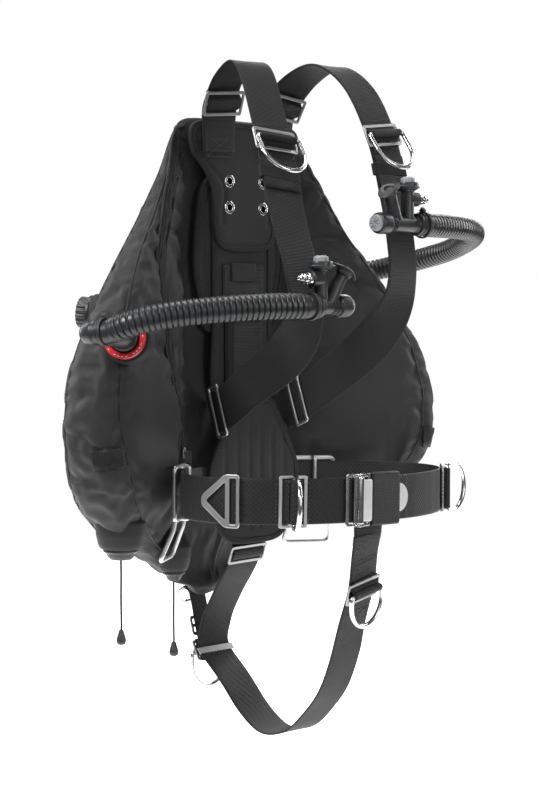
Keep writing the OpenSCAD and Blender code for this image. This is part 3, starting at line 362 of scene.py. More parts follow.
def moulded(name, colour, roughness, patchy=0.25, coat=0.0, sheen=0.0):
    """Moulded plastic or rubber with a fine spark-eroded grain and slight handling wear."""
    material, tree, shader, coordinates = blank(
        name, Roughness=roughness, Sheen_Weight=sheen, Coat_Weight=coat, Coat_Roughness=0.2)
    fine = noise(tree, coordinates.outputs["Object"], 1400, 2)
    wear = noise(tree, coordinates.outputs["Object"], 40, 6)
    tree.links.new(tint(tree, wear, shade(colour, 1 - patchy), shade(colour, 1 + patchy)),
                   shader.inputs["Base Color"])
    tree.links.new(math_node(tree, "MULTIPLY_ADD", wear, 0.25, roughness - 0.12), shader.inputs["Roughness"])
    tree.links.new(bump(tree, fine, 0.00006, 0.6), shader.inputs["Normal"])
    return material


def metal(name, colour, roughness, brushed):
    """Bare or plated metal with fine scratches and a little smear."""
    material, tree, shader, coordinates = blank(name, Metallic=1.0, Roughness=roughness)
    smear = noise(tree, coordinates.outputs["Object"], 60, 6)
    fine = noise(tree, coordinates.outputs["Object"], 2200, 3)
    tree.links.new(tint(tree, smear, shade(colour, 0.82), shade(colour, 1.1)), shader.inputs["Base Color"])
    tree.links.new(math_node(tree, "MULTIPLY_ADD", smear, 0.16, max(roughness - 0.06, 0.02)),
                   shader.inputs["Roughness"])
    tree.links.new(bump(tree, fine, 0.00002 + brushed * 0.00008, 0.35), shader.inputs["Normal"])
    return material


# Each cloth: colour, pitch across and along and depth of its weave in mm, share of ribs, contrast,
# roughness and sheen. Contrast is how much painted sheen the thread tops get and how much painted shade the
# hollows get.
CLOTHS = {
    "wing_cloth": ((0.027, 0.0265, 0.0275), 1.1, 1.1, 0.12, 0.0, 0.35, 0.55, 0.05),
    "pad_cloth": ((0.027, 0.027, 0.0275), 1.3, 1.3, 0.14, 0.0, 0.4, 0.8, 0.05),
    "binding": ((0.020, 0.020, 0.021), 1.0, 1.6, 0.15, 1.0, 0.4, 0.8, 0.04),
    "webbing": ((0.0115, 0.011, 0.0115), 1.9, 1.7, 0.5, 1.0, 0.9, 0.5, 0.02),
    "belt_webbing": ((0.0145, 0.014, 0.0145), 2.6, 2.6, 0.5, 0.0, 0.7, 0.48, 0.02),
    "elastic": ((0.014, 0.014, 0.0145), 1.2, 2.4, 0.3, 1.0, 0.5, 0.8, 0.03),
    "hook_tape": ((0.012, 0.012, 0.012), 0.9, 0.9, 0.4, 0.0, 0.9, 0.95, 0.08),
    "cord": ((0.014, 0.014, 0.015), 0.8, 1.2, 0.2, 0.2, 0.5, 0.8, 0.04),
    "bladder_film": ((0.05, 0.05, 0.06), 1.4, 1.4, 0.08, 0.0, 0.2, 0.8, 0.04),
}
# Each plastic or rubber: colour, roughness, patchiness, coat and sheen.
PLASTICS = {
    "thread": ((0.05, 0.05, 0.052), 0.7, 0.25, 0.0, 0.05),
    "zip": ((0.035, 0.035, 0.037), 0.35),
    "hose_rubber": ((0.024, 0.025, 0.027), 0.32),
    "soft_rubber": ((0.024, 0.024, 0.0255), 0.48),
    "black_plastic": ((0.026, 0.027, 0.029), 0.36),
    "grey_plastic": ((0.30, 0.32, 0.335), 0.4, 0.08),
    "red_plastic": ((0.62, 0.02, 0.03), 0.28, 0.1, 0.5),
    "white_print": ((0.75, 0.74, 0.73), 0.4, 0.05),
}
# Each metal: colour, roughness and how brushed it is, from 0 to 1.
METALS = {
    "chrome_plate": ((0.8, 0.8, 0.81), 0.1, 0.0),
    "dark_steel": ((0.33, 0.33, 0.34), 0.36, 1.0),
    "polished_steel": ((0.7, 0.7, 0.69), 0.2, 0.0),
    "satin_steel": ((0.6, 0.6, 0.6), 0.38, 0.6),
    "brushed_steel": ((0.88, 0.88, 0.87), 0.5, 0.8),
}
MATERIALS = {name: make(name, *row) for make, table in ((woven, CLOTHS), (moulded, PLASTICS), (metal, METALS))
             for name, row in table.items()}


# ---------------------------------------------------------------- mesh building

def linked(name, data):
    """A new object that holds the data, in the scene."""
    obj = bpy.data.objects.new(name, data)
    bpy.context.scene.collection.objects.link(obj)
    return obj


def evaluated(obj):
    """The object as its modifiers leave it."""
    bpy.context.view_layer.update()
    return obj.evaluated_get(bpy.context.evaluated_depsgraph_get())


def finish_piece(obj, material, body, replaces):
    obj.data.materials.append(MATERIALS[material])
    for polygon in obj.data.polygons:
        polygon.use_smooth = True
    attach(obj, body)
    if replaces:
        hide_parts(*replaces)
    return obj


def new_object(name, verts_mm, faces, uvs=None):
    mesh = bpy.data.meshes.new(name)
    mesh.from_pydata((np.asarray(verts_mm) * MM).tolist(), [], faces)
    if uvs is not None:
        layer = mesh.uv_layers.new(name="UVMap")
        layer.data.foreach_set("uv", np.asarray(uvs, np.float32).ravel())
    bm = bmesh.new()
    bm.from_mesh(mesh)
    bmesh.ops.recalc_face_normals(bm, faces=bm.faces)
    bm.to_mesh(mesh)
    bm.free()
    return linked(name, mesh)


def skin_data(rings, wrap=False, caps=True):
    """Vertices, faces and real-scale UVs of a skin over rings of points. wrap joins the last ring
    to the first."""
    rings = np.asarray(rings, float)
    m, n, _ = rings.shape
    ring = rings[m // 2]
    loop = np.vstack([ring, ring[:1]])
    us = run_lengths(loop)
    centres = rings.mean(axis=1)
    vs = run_lengths(np.vstack([centres, centres[:1]]))
    faces, uvs = [], []
    for i in range(m if wrap else m - 1):
        j = (i + 1) % m
        for k in range(n):
            q = (k + 1) % n
            faces.append((i * n + k, i * n + q, j * n + q, j * n + k))
            uvs += [(us[k], vs[i]), (us[k + 1], vs[i]), (us[k + 1], vs[i + 1]), (us[k], vs[i + 1])]
    if caps and not wrap:
        faces.append(tuple(range(n - 1, -1, -1)))
        faces.append(tuple(range((m - 1) * n, m * n)))
        uvs += [(us[k], vs[0]) for k in range(n - 1, -1, -1)]
        uvs += [(us[k], vs[m - 1]) for k in range(n)]
    return rings.reshape(-1, 3), faces, uvs


def shared(side, node):
    """A node that holds both sides' pieces is replaced once, by the right one."""
    return [node] if side == "right" else []


def joined(parts):
    """Several skins as one mesh's data."""
    verts, faces, uvs, base = [], [], [], 0
    for v, f, u in parts:
        verts.append(v)
        faces += [tuple(i + base for i in face) for face in f]
        uvs += u
        base += len(v)
    return np.vstack(verts), faces, uvs


def piece(name, parts, material, body=HARNESS, replaces=()):
    verts, faces, uvs = joined(parts)
    return finish_piece(new_object(name, verts, faces, uvs), material, body, replaces)


def tube_rings(points, radii, sides=20, closed=False):
    """Rings of a round tube, carried along its line without twist."""
    pts = np.asarray(points, float)
    n = len(pts)
    radii = np.broadcast_to(radii, (n,))
    if closed:
        tangents = np.array([unit(pts[(i + 1) % n] - pts[i - 1]) for i in range(n)])
    else:
        tangents = np.array([unit(pts[min(i + 1, n - 1)] - pts[max(i - 1, 0)]) for i in range(n)])
    x = unit(np.cross(tangents[0], (0, 0, 1) if abs(tangents[0][2]) < 0.9 else (0, 1, 0)))
    angles, rings = turns(sides), []
    for i in range(n):
        x = unit(x - (x @ tangents[i]) * tangents[i])
        y = np.cross(tangents[i], x)
        rings.append(pts[i] + radii[i] * (np.outer(np.cos(angles), x) + np.outer(np.sin(angles), y)))
    return np.array(rings)


def wire(points, radius, place, closed=True, fillet=5.0, sides=20):
    """Bent wire through corner points, placed in the frame."""
    line = filleted(points, fillet, closed)
    line = even(np.vstack([line, line[:1]]) if closed else line, WIRE_STEP)
    line = moved(line[:-1] if closed else line, place)
    return skin_data(tube_rings(line, radius, sides, closed), wrap=closed)


def softened(profile, radius=0.5, closed=False):
    """A turned profile with its corners rounded, as (radius, height) points."""
    return flat_fillet(profile, radius, closed, 3)


def lathe(profile, place, sides=48, radius=0.5, ripple=None, stretch=(1, 1), ring=False):
    """A turned solid, or a ring with an open middle. ripple(angle) scales its radius, and stretch
    makes it oval."""
    angles, rings = turns(sides), []
    scale = np.ones(sides) if ripple is None else np.array([ripple(a) for a in angles])
    for r, h in softened(profile, radius, ring):
        r = max(r, 0.02)
        rings.append(np.column_stack([stretch[0] * r * scale * np.cos(angles),
                                      stretch[1] * r * scale * np.sin(angles), np.full(sides, h)]))
    return skin_data(moved(np.array(rings).reshape(-1, 3), place).reshape(len(rings), sides, 3), wrap=ring)


def web_section(width, thick, wave=0.0):
    """Outline of webbing seen from its end: flat faces and round edges."""
    half, r = width / 2, thick / 2
    flat = np.linspace(-half + r, half - r, 15)
    arc = np.linspace(90, -90, 6)[1:-1]
    top = [(a, r + wave * math.cos(math.pi * a / half)) for a in flat]
    right = [(half - r + r * math.cos(math.radians(t)), r * math.sin(math.radians(t))) for t in arc]
    bottom = [(a, -r + wave * math.cos(math.pi * a / half)) for a in flat[::-1]]
    left = [(-x, -y) for x, y in right]
    return np.array(top + right + bottom + left)


def ribbon(rows, steps, width=WEB_W, thick=WEB_T, lift=0.0, start=0.0, end=None, ripple=0.35, seed=0.0):
    """Webbing swept along rows of place and width direction, with the slight waves of used webbing."""
    end = len(rows) - 1 if end is None else end
    count = max(int(round((end - start) * steps)), 2)
    section, rings = web_section(width, thick), []
    for k, u in enumerate(np.linspace(start, end, count + 1)):
        place, across, _, face = strap_axes(rows, u)
        hold = min(1.0, 2.5 * min(k, count - k) / count)
        wave = hold * ripple * (math.sin(2.1 * u + seed) + 0.6 * math.sin(5.3 * u + 2 * seed))
        crown = hold * ripple * 0.8 * math.sin(3.3 * u + seed) * (1 - (2 * section[:, 0] / width) ** 2)
        rings.append(place + np.outer(section[:, 0], across)
                     + np.outer(section[:, 1] + lift + wave + crown, face))
    return skin_data(rings)


def band(path, width, thick, place, closed=False):
    """Webbing folded along a path in the y-z plane of a place, with its width along x."""
    pts = np.asarray(path, float)
    n = len(pts)
    section, rings = web_section(width, thick), []
    for i in range(n):
        a, b = (pts[i - 1], pts[(i + 1) % n]) if closed else (pts[max(i - 1, 0)], pts[min(i + 1, n - 1)])
        run = unit(b - a)
        out = np.array([-run[1], run[0]])
        yz = pts[i] + np.outer(section[:, 1], out)
        rings.append(moved(np.column_stack([section[:, 0], yz]), place))
    return skin_data(rings, wrap=closed)


def plate(name, outline, holes, thick, place, material, bevel=0.45, body=HARNESS, replaces=()):
    """A flat metal stamping with rolled edges, standing on a place's xy plane."""
    curve = bpy.data.curves.new(name, "CURVE")
    curve.dimensions, curve.fill_mode = "2D", "BOTH"
    curve.extrude, curve.bevel_depth, curve.bevel_resolution = (thick / 2 - bevel) * MM, bevel * MM, 3
    curve.offset = -bevel * MM
    for loop in [outline, *holes]:
        spline = curve.splines.new("POLY")
        spline.points.add(len(loop) - 1)
        for point, p in zip(spline.points, loop):
            point.co = (p[0] * MM, p[1] * MM, 0, 1)
        spline.use_cyclic_u = True
    source = linked(name + "_outline", curve)
    mesh = bpy.data.meshes.new_from_object(evaluated(source))
    bpy.data.objects.remove(source)
    m = (place @ shift(z=thick / 2)).copy()
    m[:3, 3] *= MM
    mesh.transform(Matrix(m.tolist()))
    mesh.name = name
    obj = linked(name, mesh)
    obj.data.materials.clear()
    finish_piece(obj, material, body, replaces)
    obj.data.set_sharp_from_angle(angle=math.radians(35))
    return obj


def rounded(width, height, radius, centre=(0, 0)):
    """A rectangle with round corners, as an outline of points."""
    steps, out = 6, []
    for q, (sx, sy) in enumerate([(1, 1), (-1, 1), (-1, -1), (1, -1)]):
        for k in range(steps + 1):
            a = math.radians(90 * q + 90 * k / steps)
            out.append((centre[0] + sx * (width / 2 - radius) + radius * math.cos(a),
                        centre[1] + sy * (height / 2 - radius) + radius * math.sin(a)))
    return out


def smooth_corners(points, radius):
    return [tuple(p) for p in flat_fillet(points, radius, True)]


# ---------------------------------------------------------------- stitching

STITCH, STITCH_GAP = 2.7, 1.5
stitches = []


def stitch_line(points, normals, radius=0.42):
    """Lock stitches on a surface, each a small taut loop of thread."""
    pts, nrm = np.asarray(points, float), np.asarray(normals, float)
    lengths = run_lengths(pts)
    at = 0.0
    while at + STITCH < lengths[-1]:
        ends = [np.array([np.interp(s, lengths, pts[:, k]) for k in range(3)]) for s in (at, at + STITCH)]
        out = unit([np.interp(at, lengths, nrm[:, k]) for k in range(3)])
        stitches.append((ends[0], ends[1], out, radius))
        at += STITCH + STITCH_GAP


def stitch_path(corners, place, lift):
    """Stitches along straight runs in a place's xy plane."""
    line = np.array([[*p, lift] for p in corners], float)
    for a, b in zip(line[:-1], line[1:]):
        ends = moved([a, b], place)
        stitch_line(ends, [place[:3, 2]] * 2)


def box_stitch(place, lift, width, height, crossed=True):
    """A stitched box, with its diagonals where it carries load."""
    w, h = width / 2, height / 2
    stitch_path([(-w, -h), (w, -h), (w, h), (-w, h), (-w, -h)], place, lift)
    if crossed:
        stitch_path([(-w, -h), (w, h)], place, lift)
        stitch_path([(-w, h), (w, -h)], place, lift)


def build_stitches():
    """Every stitch as one piece: an eight-sided grain of thread that ends in the cloth."""
    verts, faces, uvs = [], [], []
    for a, b, out, r in stitches:
        run = unit(b - a)
        side = np.cross(run, out)
        third = (b - a) / 4
        base = len(verts)
        verts += [a - 0.4 * out, *[p + r * w for p in (a + third, b - third)
                                   for w in (side, out * 1.15, -side, -out)], b - 0.4 * out]
        for k in range(4):
            q = (k + 1) % 4
            faces += [(base, base + 1 + q, base + 1 + k),
                      (base + 1 + k, base + 1 + q, base + 5 + q, base + 5 + k),
                      (base + 5 + k, base + 5 + q, base + 9)]
            uvs += [(0, 0)] * 10
    finish_piece(new_object("seam_stitches", verts, faces, uvs), "thread", HARNESS, ())


# ---------------------------------------------------------------- camera

CAMERA_AT = np.array([-1520.3, -1635.3, -133.0])
AIM_LEFT, AIM_DOWN = 0.024642, 0.049820  # how far the view turns from level and square, as slopes
look = np.array([1, 1, 0]) / math.sqrt(2)
right = np.array([1, -1, 0]) / math.sqrt(2)
aim_at = look - right * AIM_LEFT - np.array([0, 0, 1]) * AIM_DOWN

camera_data = bpy.data.cameras.new("camera")
camera_data.lens, camera_data.sensor_width = 84, 36
camera_data.clip_start, camera_data.clip_end = 0.1, 50
camera = linked("camera", camera_data)
camera.location = CAMERA_AT * MM
camera.rotation_euler = Vector(aim_at).to_track_quat("-Z", "Y").to_euler()
bpy.context.scene.camera = camera


# ---------------------------------------------------------------- wing's shape

def lobe_share(x, w):
    core = min(CENTRE_BAND, w / 2)
    return np.maximum(np.abs(x) - core, 0) / (w - core)


def wing_ring(r, angles):
    """Points round the wing at one row."""
    c, s = np.cos(np.radians(angles)), np.sin(np.radians(angles))
    w = max(r[1] * WING_HALF, 1)
    x = w * np.sign(c) * np.abs(c) ** 0.62
    share = lobe_share(x, w)
    middle = r[2] + (r[3] - r[2]) * share ** 1.1
    depth = np.maximum(r[4] + (r[5] - r[4]) * share ** 0.8, 0.8)
    side = np.sin(np.radians(np.minimum(np.abs(x), 180) / 2))
    left = -LEFT_RISE * side * np.clip((-300 - r[0]) / 100, 0, 1)
    right_side = RIGHT_SAG * side * np.clip((-240 - r[0]) / 100, 0, 1)
    sag = np.where(x > 0, left, right_side)
    return np.column_stack([x, middle + np.sign(s) * np.abs(s) ** 0.5 * depth / 2, r[0] - sag])


def wing_at(u, angle):
    """A point of the wing's skin by row and angle, on the CAD's flat faces."""
    step = 9.0
    i = min(max(int(math.floor(u)), 0), len(WING) - 2)
    k = math.floor(angle / step - 0.5)
    t = angle / step - 0.5 - k
    corners = [(k + 0.5) * step, (k + 1.5) * step]
    a, b = wing_ring(WING[i], corners), wing_ring(WING[i + 1], corners)
    return (a[0] * (1 - t) + a[1] * t) * (1 - u + i) + (b[0] * (1 - t) + b[1] * t) * (u - i)


def wing_normal(u, angle):
    return unit(np.cross(wing_at(u + 0.3, angle) - wing_at(u - 0.3, angle),
                         wing_at(u, angle + 4) - wing_at(u, angle - 4)))


def on_skin(u, angle, out):
    return wing_at(u, angle) + out * wing_normal(u, angle)


RIGHT_SEAT = on_skin(5.86, 203, 15)
LEFT_SEAT = on_skin(5.04, 60, 4)
RELIEF_SEAT = on_skin(5.45, 146, 4)
MAIN_DUMP_SEAT = on_skin(10.45, 186, 6) - np.array([0, 0, 5])
RESERVE_DUMP_SEAT = on_skin(11.3, 241, 6) - np.array([0, 0, 26])
SEATS = [(RIGHT_SEAT, RIGHT_FACE, 28), (LEFT_SEAT, LEFT_FACE, 24), (RELIEF_SEAT, RELIEF_FACE, 22),
         (MAIN_DUMP_SEAT, DUMP_FACE, 24), (RESERVE_DUMP_SEAT, DUMP_FACE, 16)]


# ---------------------------------------------------------------- cords and hoses

RIGHT_HOSE = [RIGHT_BEND + BEND_OUT * unit(RIGHT_OUT), RIGHT_BEND + (BEND_OUT + 12) * unit(RIGHT_OUT),
              [-281, -130, -149], [-252, -156, -141], [-215, -181, -136], [-176, -202, -133],
              [-143, -216, -132], [-121, -222, -132], [-106, -222, -132]]
LEFT_HOSE = [[98, -186, -38], [114, -186, -38], [152, -180, -38], [196, -170, -39], [240, -148, -42],
             [280, -108, -48], [303, -55, -60], [306, 5, -72], [286, 58, -84], [250, 86, -92],
             [212, 97, -99], LEFT_BEND + (BEND_OUT + 12) * unit(LEFT_OUT),
             LEFT_BEND + BEND_OUT * unit(LEFT_OUT)]


def hose(name, points, node):
    """A corrugated hose: round ribs between two smooth cuffs."""
    cuff, pitch, outer, inner = 19.0, 6.0, HOSE_D / 2, HOSE_D / 2 - 3.2
    path = smooth_path(np.array(points, float), 0.5)
    s = run_lengths(path)
    total = s[-1]
    ribs = round((total - 2 * cuff) / pitch)
    phase = np.clip((s - cuff) / (total - 2 * cuff), 0, 1) * ribs
    crest = np.minimum(1.75 * np.abs(np.sin(math.pi * phase)), 1) ** 0.8
    radii = np.where((s < cuff) | (s > total - cuff), outer - 0.9, inner + (outer - inner) * crest)
    lip = np.minimum(s, total - s)
    radii = np.where(lip < 2.5, outer - 0.1, radii)
    radii = np.where((lip > 15) & (lip <= cuff), outer - 0.3, radii)
    obj = piece(name, [skin_data(tube_rings(path, radii, 28))], "hose_rubber", replaces=[node])


def toggle(name, top, drop, body, node):
    profile = [[0, 0], [3, 0], [4.6, 1], [5.5, 3.4], [5.5, 6], [4.6, 9.5], [3.4, 13], [2.9, 15.4],
               [2.4, 17], [0, 17]]
    grips = lathe(profile, shift(*(top - [0, 0, drop + 17])), 40, 0.8)
    return piece(name, [grips], "black_plastic", body, [node])


def pull_cord(name, seat, drop, body, cord_node, toggle_node):
    """A braided cord that hangs from its valve to a drop-shaped toggle."""
    top = seat - np.array([0, 0, CORD_START])
    heights = np.linspace(0, drop, 24)
    path = np.array([top + [0.25 * math.sin(h / 11), 0.2 * math.sin(h / 17 + 1), -h] for h in heights])
    path[0], path[-1] = top, top - [0, 0, drop]
    end = toggle(name + "_toggle", top, drop, body, toggle_node)
    obj = piece(name, [skin_data(tube_rings(path, CORD_D / 2, 12))], "cord", body, [cord_node])


hose("corrugated_hose_right", RIGHT_HOSE, "right_hose")
hose("corrugated_hose_left", LEFT_HOSE, "left_hose")
for name, seat, drop in (("main", MAIN_DUMP_SEAT, MAIN_CORD_DROP),
                         ("reserve", RESERVE_DUMP_SEAT, RESERVE_CORD_DROP)):
    pull_cord(name + "_pull_cord", seat, drop, name + "_dump_pull", name + "_dump_cord",
              name + "_dump_toggle")


# ---------------------------------------------------------------- wing's cover

def seam_points(course, count):
    """Points of a course on the wing as it is cut, and which way its skin faces there."""
    picks = [along(course, k) for k in np.linspace(0, len(course) - 1, count)]
    return np.array([wing_at(*c) for c in picks]), np.array([wing_normal(*c) for c in picks])


# The cloth's growth when it is cut, the steps it settles for and the furthest it may move, in mm.
GROWTH, SETTLE_STEPS, PUCKER = 0.07, 16, 8.0
SEAMS = {"gusset": RIGHT_GUSSET, "back_gusset": BACK_GUSSET, "left_gusset": LEFT_GUSSET,
         "left_back_gusset": LEFT_BACK_GUSSET, "back_yoke": BACK_YOKE, "back_hem": BACK_HEM,
         "right_edge": RIGHT_EDGE, "left_edge": LEFT_EDGE, "yoke": SIDE_YOKE}


def nearest(points, line):
    """Distance from each point to the nearest point of a line."""
    out = np.full(len(points), 1e9)
    for p in line:
        out = np.minimum(out, np.linalg.norm(points - p, axis=1))
    return out


def wing_surface():
    """The wing's skin at rest, as rings of evenly spaced points."""
    columns, row_step = 200, 5.0
    fine = np.linspace(0, 360, 1441)
    heights = run_lengths(WING[:, :1])
    picks = np.interp(np.linspace(0, heights[-1], int(heights[-1] / row_step)), heights, np.arange(len(WING)))
    rings = []
    for u in picks:
        r = along(WING, u)
        r[1] = max(r[1], 0.02)
        ring = wing_ring(r, fine)
        lengths = run_lengths(ring)
        at = np.linspace(0, lengths[-1], columns + 1)[:-1]
        rings.append(np.array([np.interp(at, lengths, ring[:, k]) for k in range(3)]).T)
    return np.array(rings)


def settle(obj, pinned):
    """Cloth simulation: the cut panels are a little larger than the room between their seams, so
    that they pucker and fold as they fill."""
    group = obj.vertex_groups.new(name="pins")
    for i, w in enumerate(pinned):
        if w > 0.02:
            group.add([i], float(w), "REPLACE")
    cloth = obj.modifiers.new("settle", "CLOTH")
    for setting, value in {"quality": 6, "mass": 0.25, "tension_stiffness": 18, "compression_stiffness": 18,
                           "shear_stiffness": 8, "bending_stiffness": 0.35, "air_damping": 3,
                           "use_pressure": True, "uniform_pressure_force": 3.2, "shrink_min": -GROWTH,
                           "vertex_group_mass": "pins"}.items():
        setattr(cloth.settings, setting, value)
    cloth.settings.effector_weights.gravity = 0
    cloth.collision_settings.use_collision = False
    scene = bpy.context.scene
    cloth.point_cache.frame_start, cloth.point_cache.frame_end = 1, SETTLE_STEPS
    for frame_number in range(1, SETTLE_STEPS + 1):
        scene.frame_set(frame_number)
    settled = obj.evaluated_get(bpy.context.evaluated_depsgraph_get())
    co = np.zeros(len(obj.data.vertices) * 3)
    settled.data.vertices.foreach_get("co", co)
    obj.modifiers.remove(cloth)
    scene.frame_set(1)
    return co.reshape(-1, 3)


def wing_cover():
    """The nylon shell, puckered between its seams and held flat at the seams, valves and pads."""
    verts, faces, uvs = skin_data(wing_surface())
    rest = verts.copy()
    obj = new_object("wing_shell", verts, faces, uvs)
    courses = [*SEAMS.values(), ZIP_COURSE]
    seam_distance = np.min([nearest(rest, seam_points(c, 90)[0]) for c in courses], axis=0)
    seat_distance = np.min([np.linalg.norm(rest - seat, axis=1) - r for seat, _, r in SEATS], axis=0)
    behind_pads = np.where((np.abs(rest[:, 0]) < 84) & (rest[:, 2] > -430) & (rest[:, 1] < 40), 1.0, 0.0)
    seam_pin = np.exp(-(seam_distance / 6) ** 2)
    seat_pin = np.clip(1 - seat_distance / 10, 0, 1)
    pins = np.clip(np.maximum.reduce([seam_pin, seat_pin, behind_pads]), 0, 1)
    pins[(rest[:, 2] > 84) | (rest[:, 2] < -478)] = 1
    change = settle(obj, pins) / MM - rest
    size = np.linalg.norm(change, axis=1)
    change *= (PUCKER * np.tanh(size / PUCKER) / np.maximum(size, 1e-6))[:, None]
    final = rest + change * (1 - behind_pads)[:, None]
    normals = np.zeros(len(rest) * 3)
    obj.data.vertices.foreach_get("normal", normals)
    final += normals.reshape(-1, 3) * (-2.2 * np.exp(-(seam_distance / 2.5) ** 2))[:, None]
    obj.data.vertices.foreach_set("co", (final * MM).ravel())
    obj.data.update()
    subdivision = obj.modifiers.new("smooth", "SUBSURF")
    subdivision.levels = subdivision.render_levels = 1
    finish_piece(obj, "wing_cloth", HARNESS, ["wing_cover"])
    return obj


wing_mesh = evaluated(wing_cover())


def drop_on_wing(point, normal, lift=0.0):
    """The finished cloth's surface nearest to a point, and which way it faces."""
    _, place, out, _ = wing_mesh.closest_point_on_mesh(Vector(np.asarray(point) * MM))
    out = np.array(out)
    if out @ normal < 0:
        out = -out
    return np.array(place) / MM + lift * out, out


def course_on_wing(course, count, lift=0.0):
    points, normals = seam_points(course, count)
    found = [drop_on_wing(p, n, lift) for p, n in zip(points, normals)]
    places = np.array([f[0] for f in found])
    outs = np.array([f[1] for f in found])
    for _ in range(10):
        places[1:-1] = (places[:-2] + 2 * places[1:-1] + places[2:]) / 4
        outs[1:-1] = (outs[:-2] + 2 * outs[1:-1] + outs[2:]) / 4
    return places, outs / np.linalg.norm(outs, axis=1)[:, None]


def sideways(places, outs):
    """The direction across a course on the wing, at each of its places."""
    runs = np.vstack([places[1] - places[0], places[2:] - places[:-2], places[-1] - places[-2]])
    return np.array([unit(np.cross(run, out)) for run, out in zip(runs, outs)])


def skin_ribbon(course, half, thick, lift, count):
    """A strip of cloth or tape that lies on the wing along a course."""
    places, outs = course_on_wing(course, count)
    steps = half * np.linspace(-1, 1, 5)
    rings = []
    for place, out, across in zip(places, outs, sideways(places, outs)):
        top = [drop_on_wing(place + s * across, out, lift + thick)[0] for s in steps]
        rings.append(top + [drop_on_wing(place + s * across, out, lift)[0] for s in steps[::-1]])
    return skin_data(rings)


for seam_name, course in SEAMS.items():
    if seam_name == "yoke":  # stitched flat, with no raised seam
        stitch_line(*course_on_wing(course, 60, 0.2))
        continue
    seam, outs = course_on_wing(course, 160, 0.2)
    piece("wing_seam_" + seam_name, [skin_data(tube_rings(seam - 0.2 * outs, 1.3, 8))], "wing_cloth")
    beside = seam + 5.5 * sideways(seam, outs)
    stitch_line(*zip(*[drop_on_wing(p, o, 0.15) for p, o in zip(beside, outs)]))


def wing_zip():
    """The coil zip: two tapes, interlocked teeth and its slider."""
    piece("zip_tape", [skin_ribbon(ZIP_COURSE, 9, 0.9, 0.2, 110)], "binding", replaces=["wing_zipper"])
    places, outs = course_on_wing(ZIP_COURSE, 220, 1.4)
    places = even(places, 1.25)
    teeth = []
    for i in range(1, len(places) - 1):
        out = drop_on_wing(places[i], outs[min(i, len(outs) - 1)])[1]
        run = unit(places[i + 1] - places[i - 1])
        across = unit(np.cross(run, out)) * (1 if i % 2 else -1)
        line = places[i] + [-0.4 * across, 0.9 * across + 0.5 * out, 2.4 * across]
        teeth.append(skin_data(tube_rings(line, 0.48, 6)))
    piece("zip_coil", teeth, "zip")
    hem, hem_outs = course_on_wing(ZIP_COURSE, 120, 0.6)
    for name, out_by in (("inner", -10.5), ("outer", 10.5)):
        line = hem + out_by * sideways(hem, hem_outs)
        piece("zip_hem_" + name, [skin_data(tube_rings(line, 1.5, 10))], "wing_cloth")
        stitch_line(line + 1.3 * hem_outs, hem_outs, radius=0.35)
    c = along(ZIP_COURSE, 5.7)
    hinge = wing_at(*c) + 9 * wing_normal(*c)
    tab = axes_matrix(hinge, *np.array(turn(-40, "Z") @ turn(90, "X"))[:3, :3].T)
    plate("zip_pull_tab", smooth_corners([(-4, -24), (4, -24), (4, 2), (0, 3.4), (-4, 2)], 2.6),
          [rounded(2.6, 2.6, 1.2), rounded(4.4, 9, 1.6, (0, -15))], 1.6, tab @ shift(z=-0.8), "zip", 0.3,
          "zipper_pull", ["zipper_pull"])
    base = aim(hinge - 7.2 * wing_normal(*c), wing_normal(*c))
    body = lathe([[0, 0], [5, 0], [5.6, 1.2], [5.4, 3], [2, 3.6], [1.2, 6], [0, 6.2]], base, 24,
                 stretch=(0.8, 1.25))
    piece("zip_slider", [body], "dark_steel")


wing_zip()

for tab_name, course in (("right", RIGHT_TAB), ("left", LEFT_TAB)):
    piece("side_tab_" + tab_name, [skin_ribbon(course, 12, 2.0, 0.8, 24)], "webbing",
          replaces=shared(tab_name, "wing_side_tabs"))
    for u, angle in (along(course, k) for k in (0.15, 2.85)):
        p, out = drop_on_wing(wing_at(u, angle), wing_normal(u, angle), 2.9)
        stitch_line([p - [0, 0, 10], p + [0, 0, 10]], [out, out])

for index, ((seat, face, radius), deep) in enumerate(zip(SEATS, (22, 12, 12, 46, 46))):
    bell = [[radius, -deep], [radius + 0.4, -2.6]]
    if face is DUMP_FACE:
        bell = [[radius - 4, -deep], [radius + 5, -30], [radius + 4, -16], [radius + 1.5, -5]]
    place = aim(seat, face)
    patch = lathe([[0, -deep], *bell, [radius - 1.2, -0.2], [0, 0]], place, 56, 1.4)
    piece("valve_patch_" + str(index + 1), [patch], "wing_cloth")
    ring = [[(radius - 4) * math.cos(a), (radius - 4) * math.sin(a), 0.1]
            for a in np.linspace(0, 2 * math.pi, 80)]
    stitch_line(moved(ring, place), [unit(face)] * 80)


# ---------------------------------------------------------------- back panels

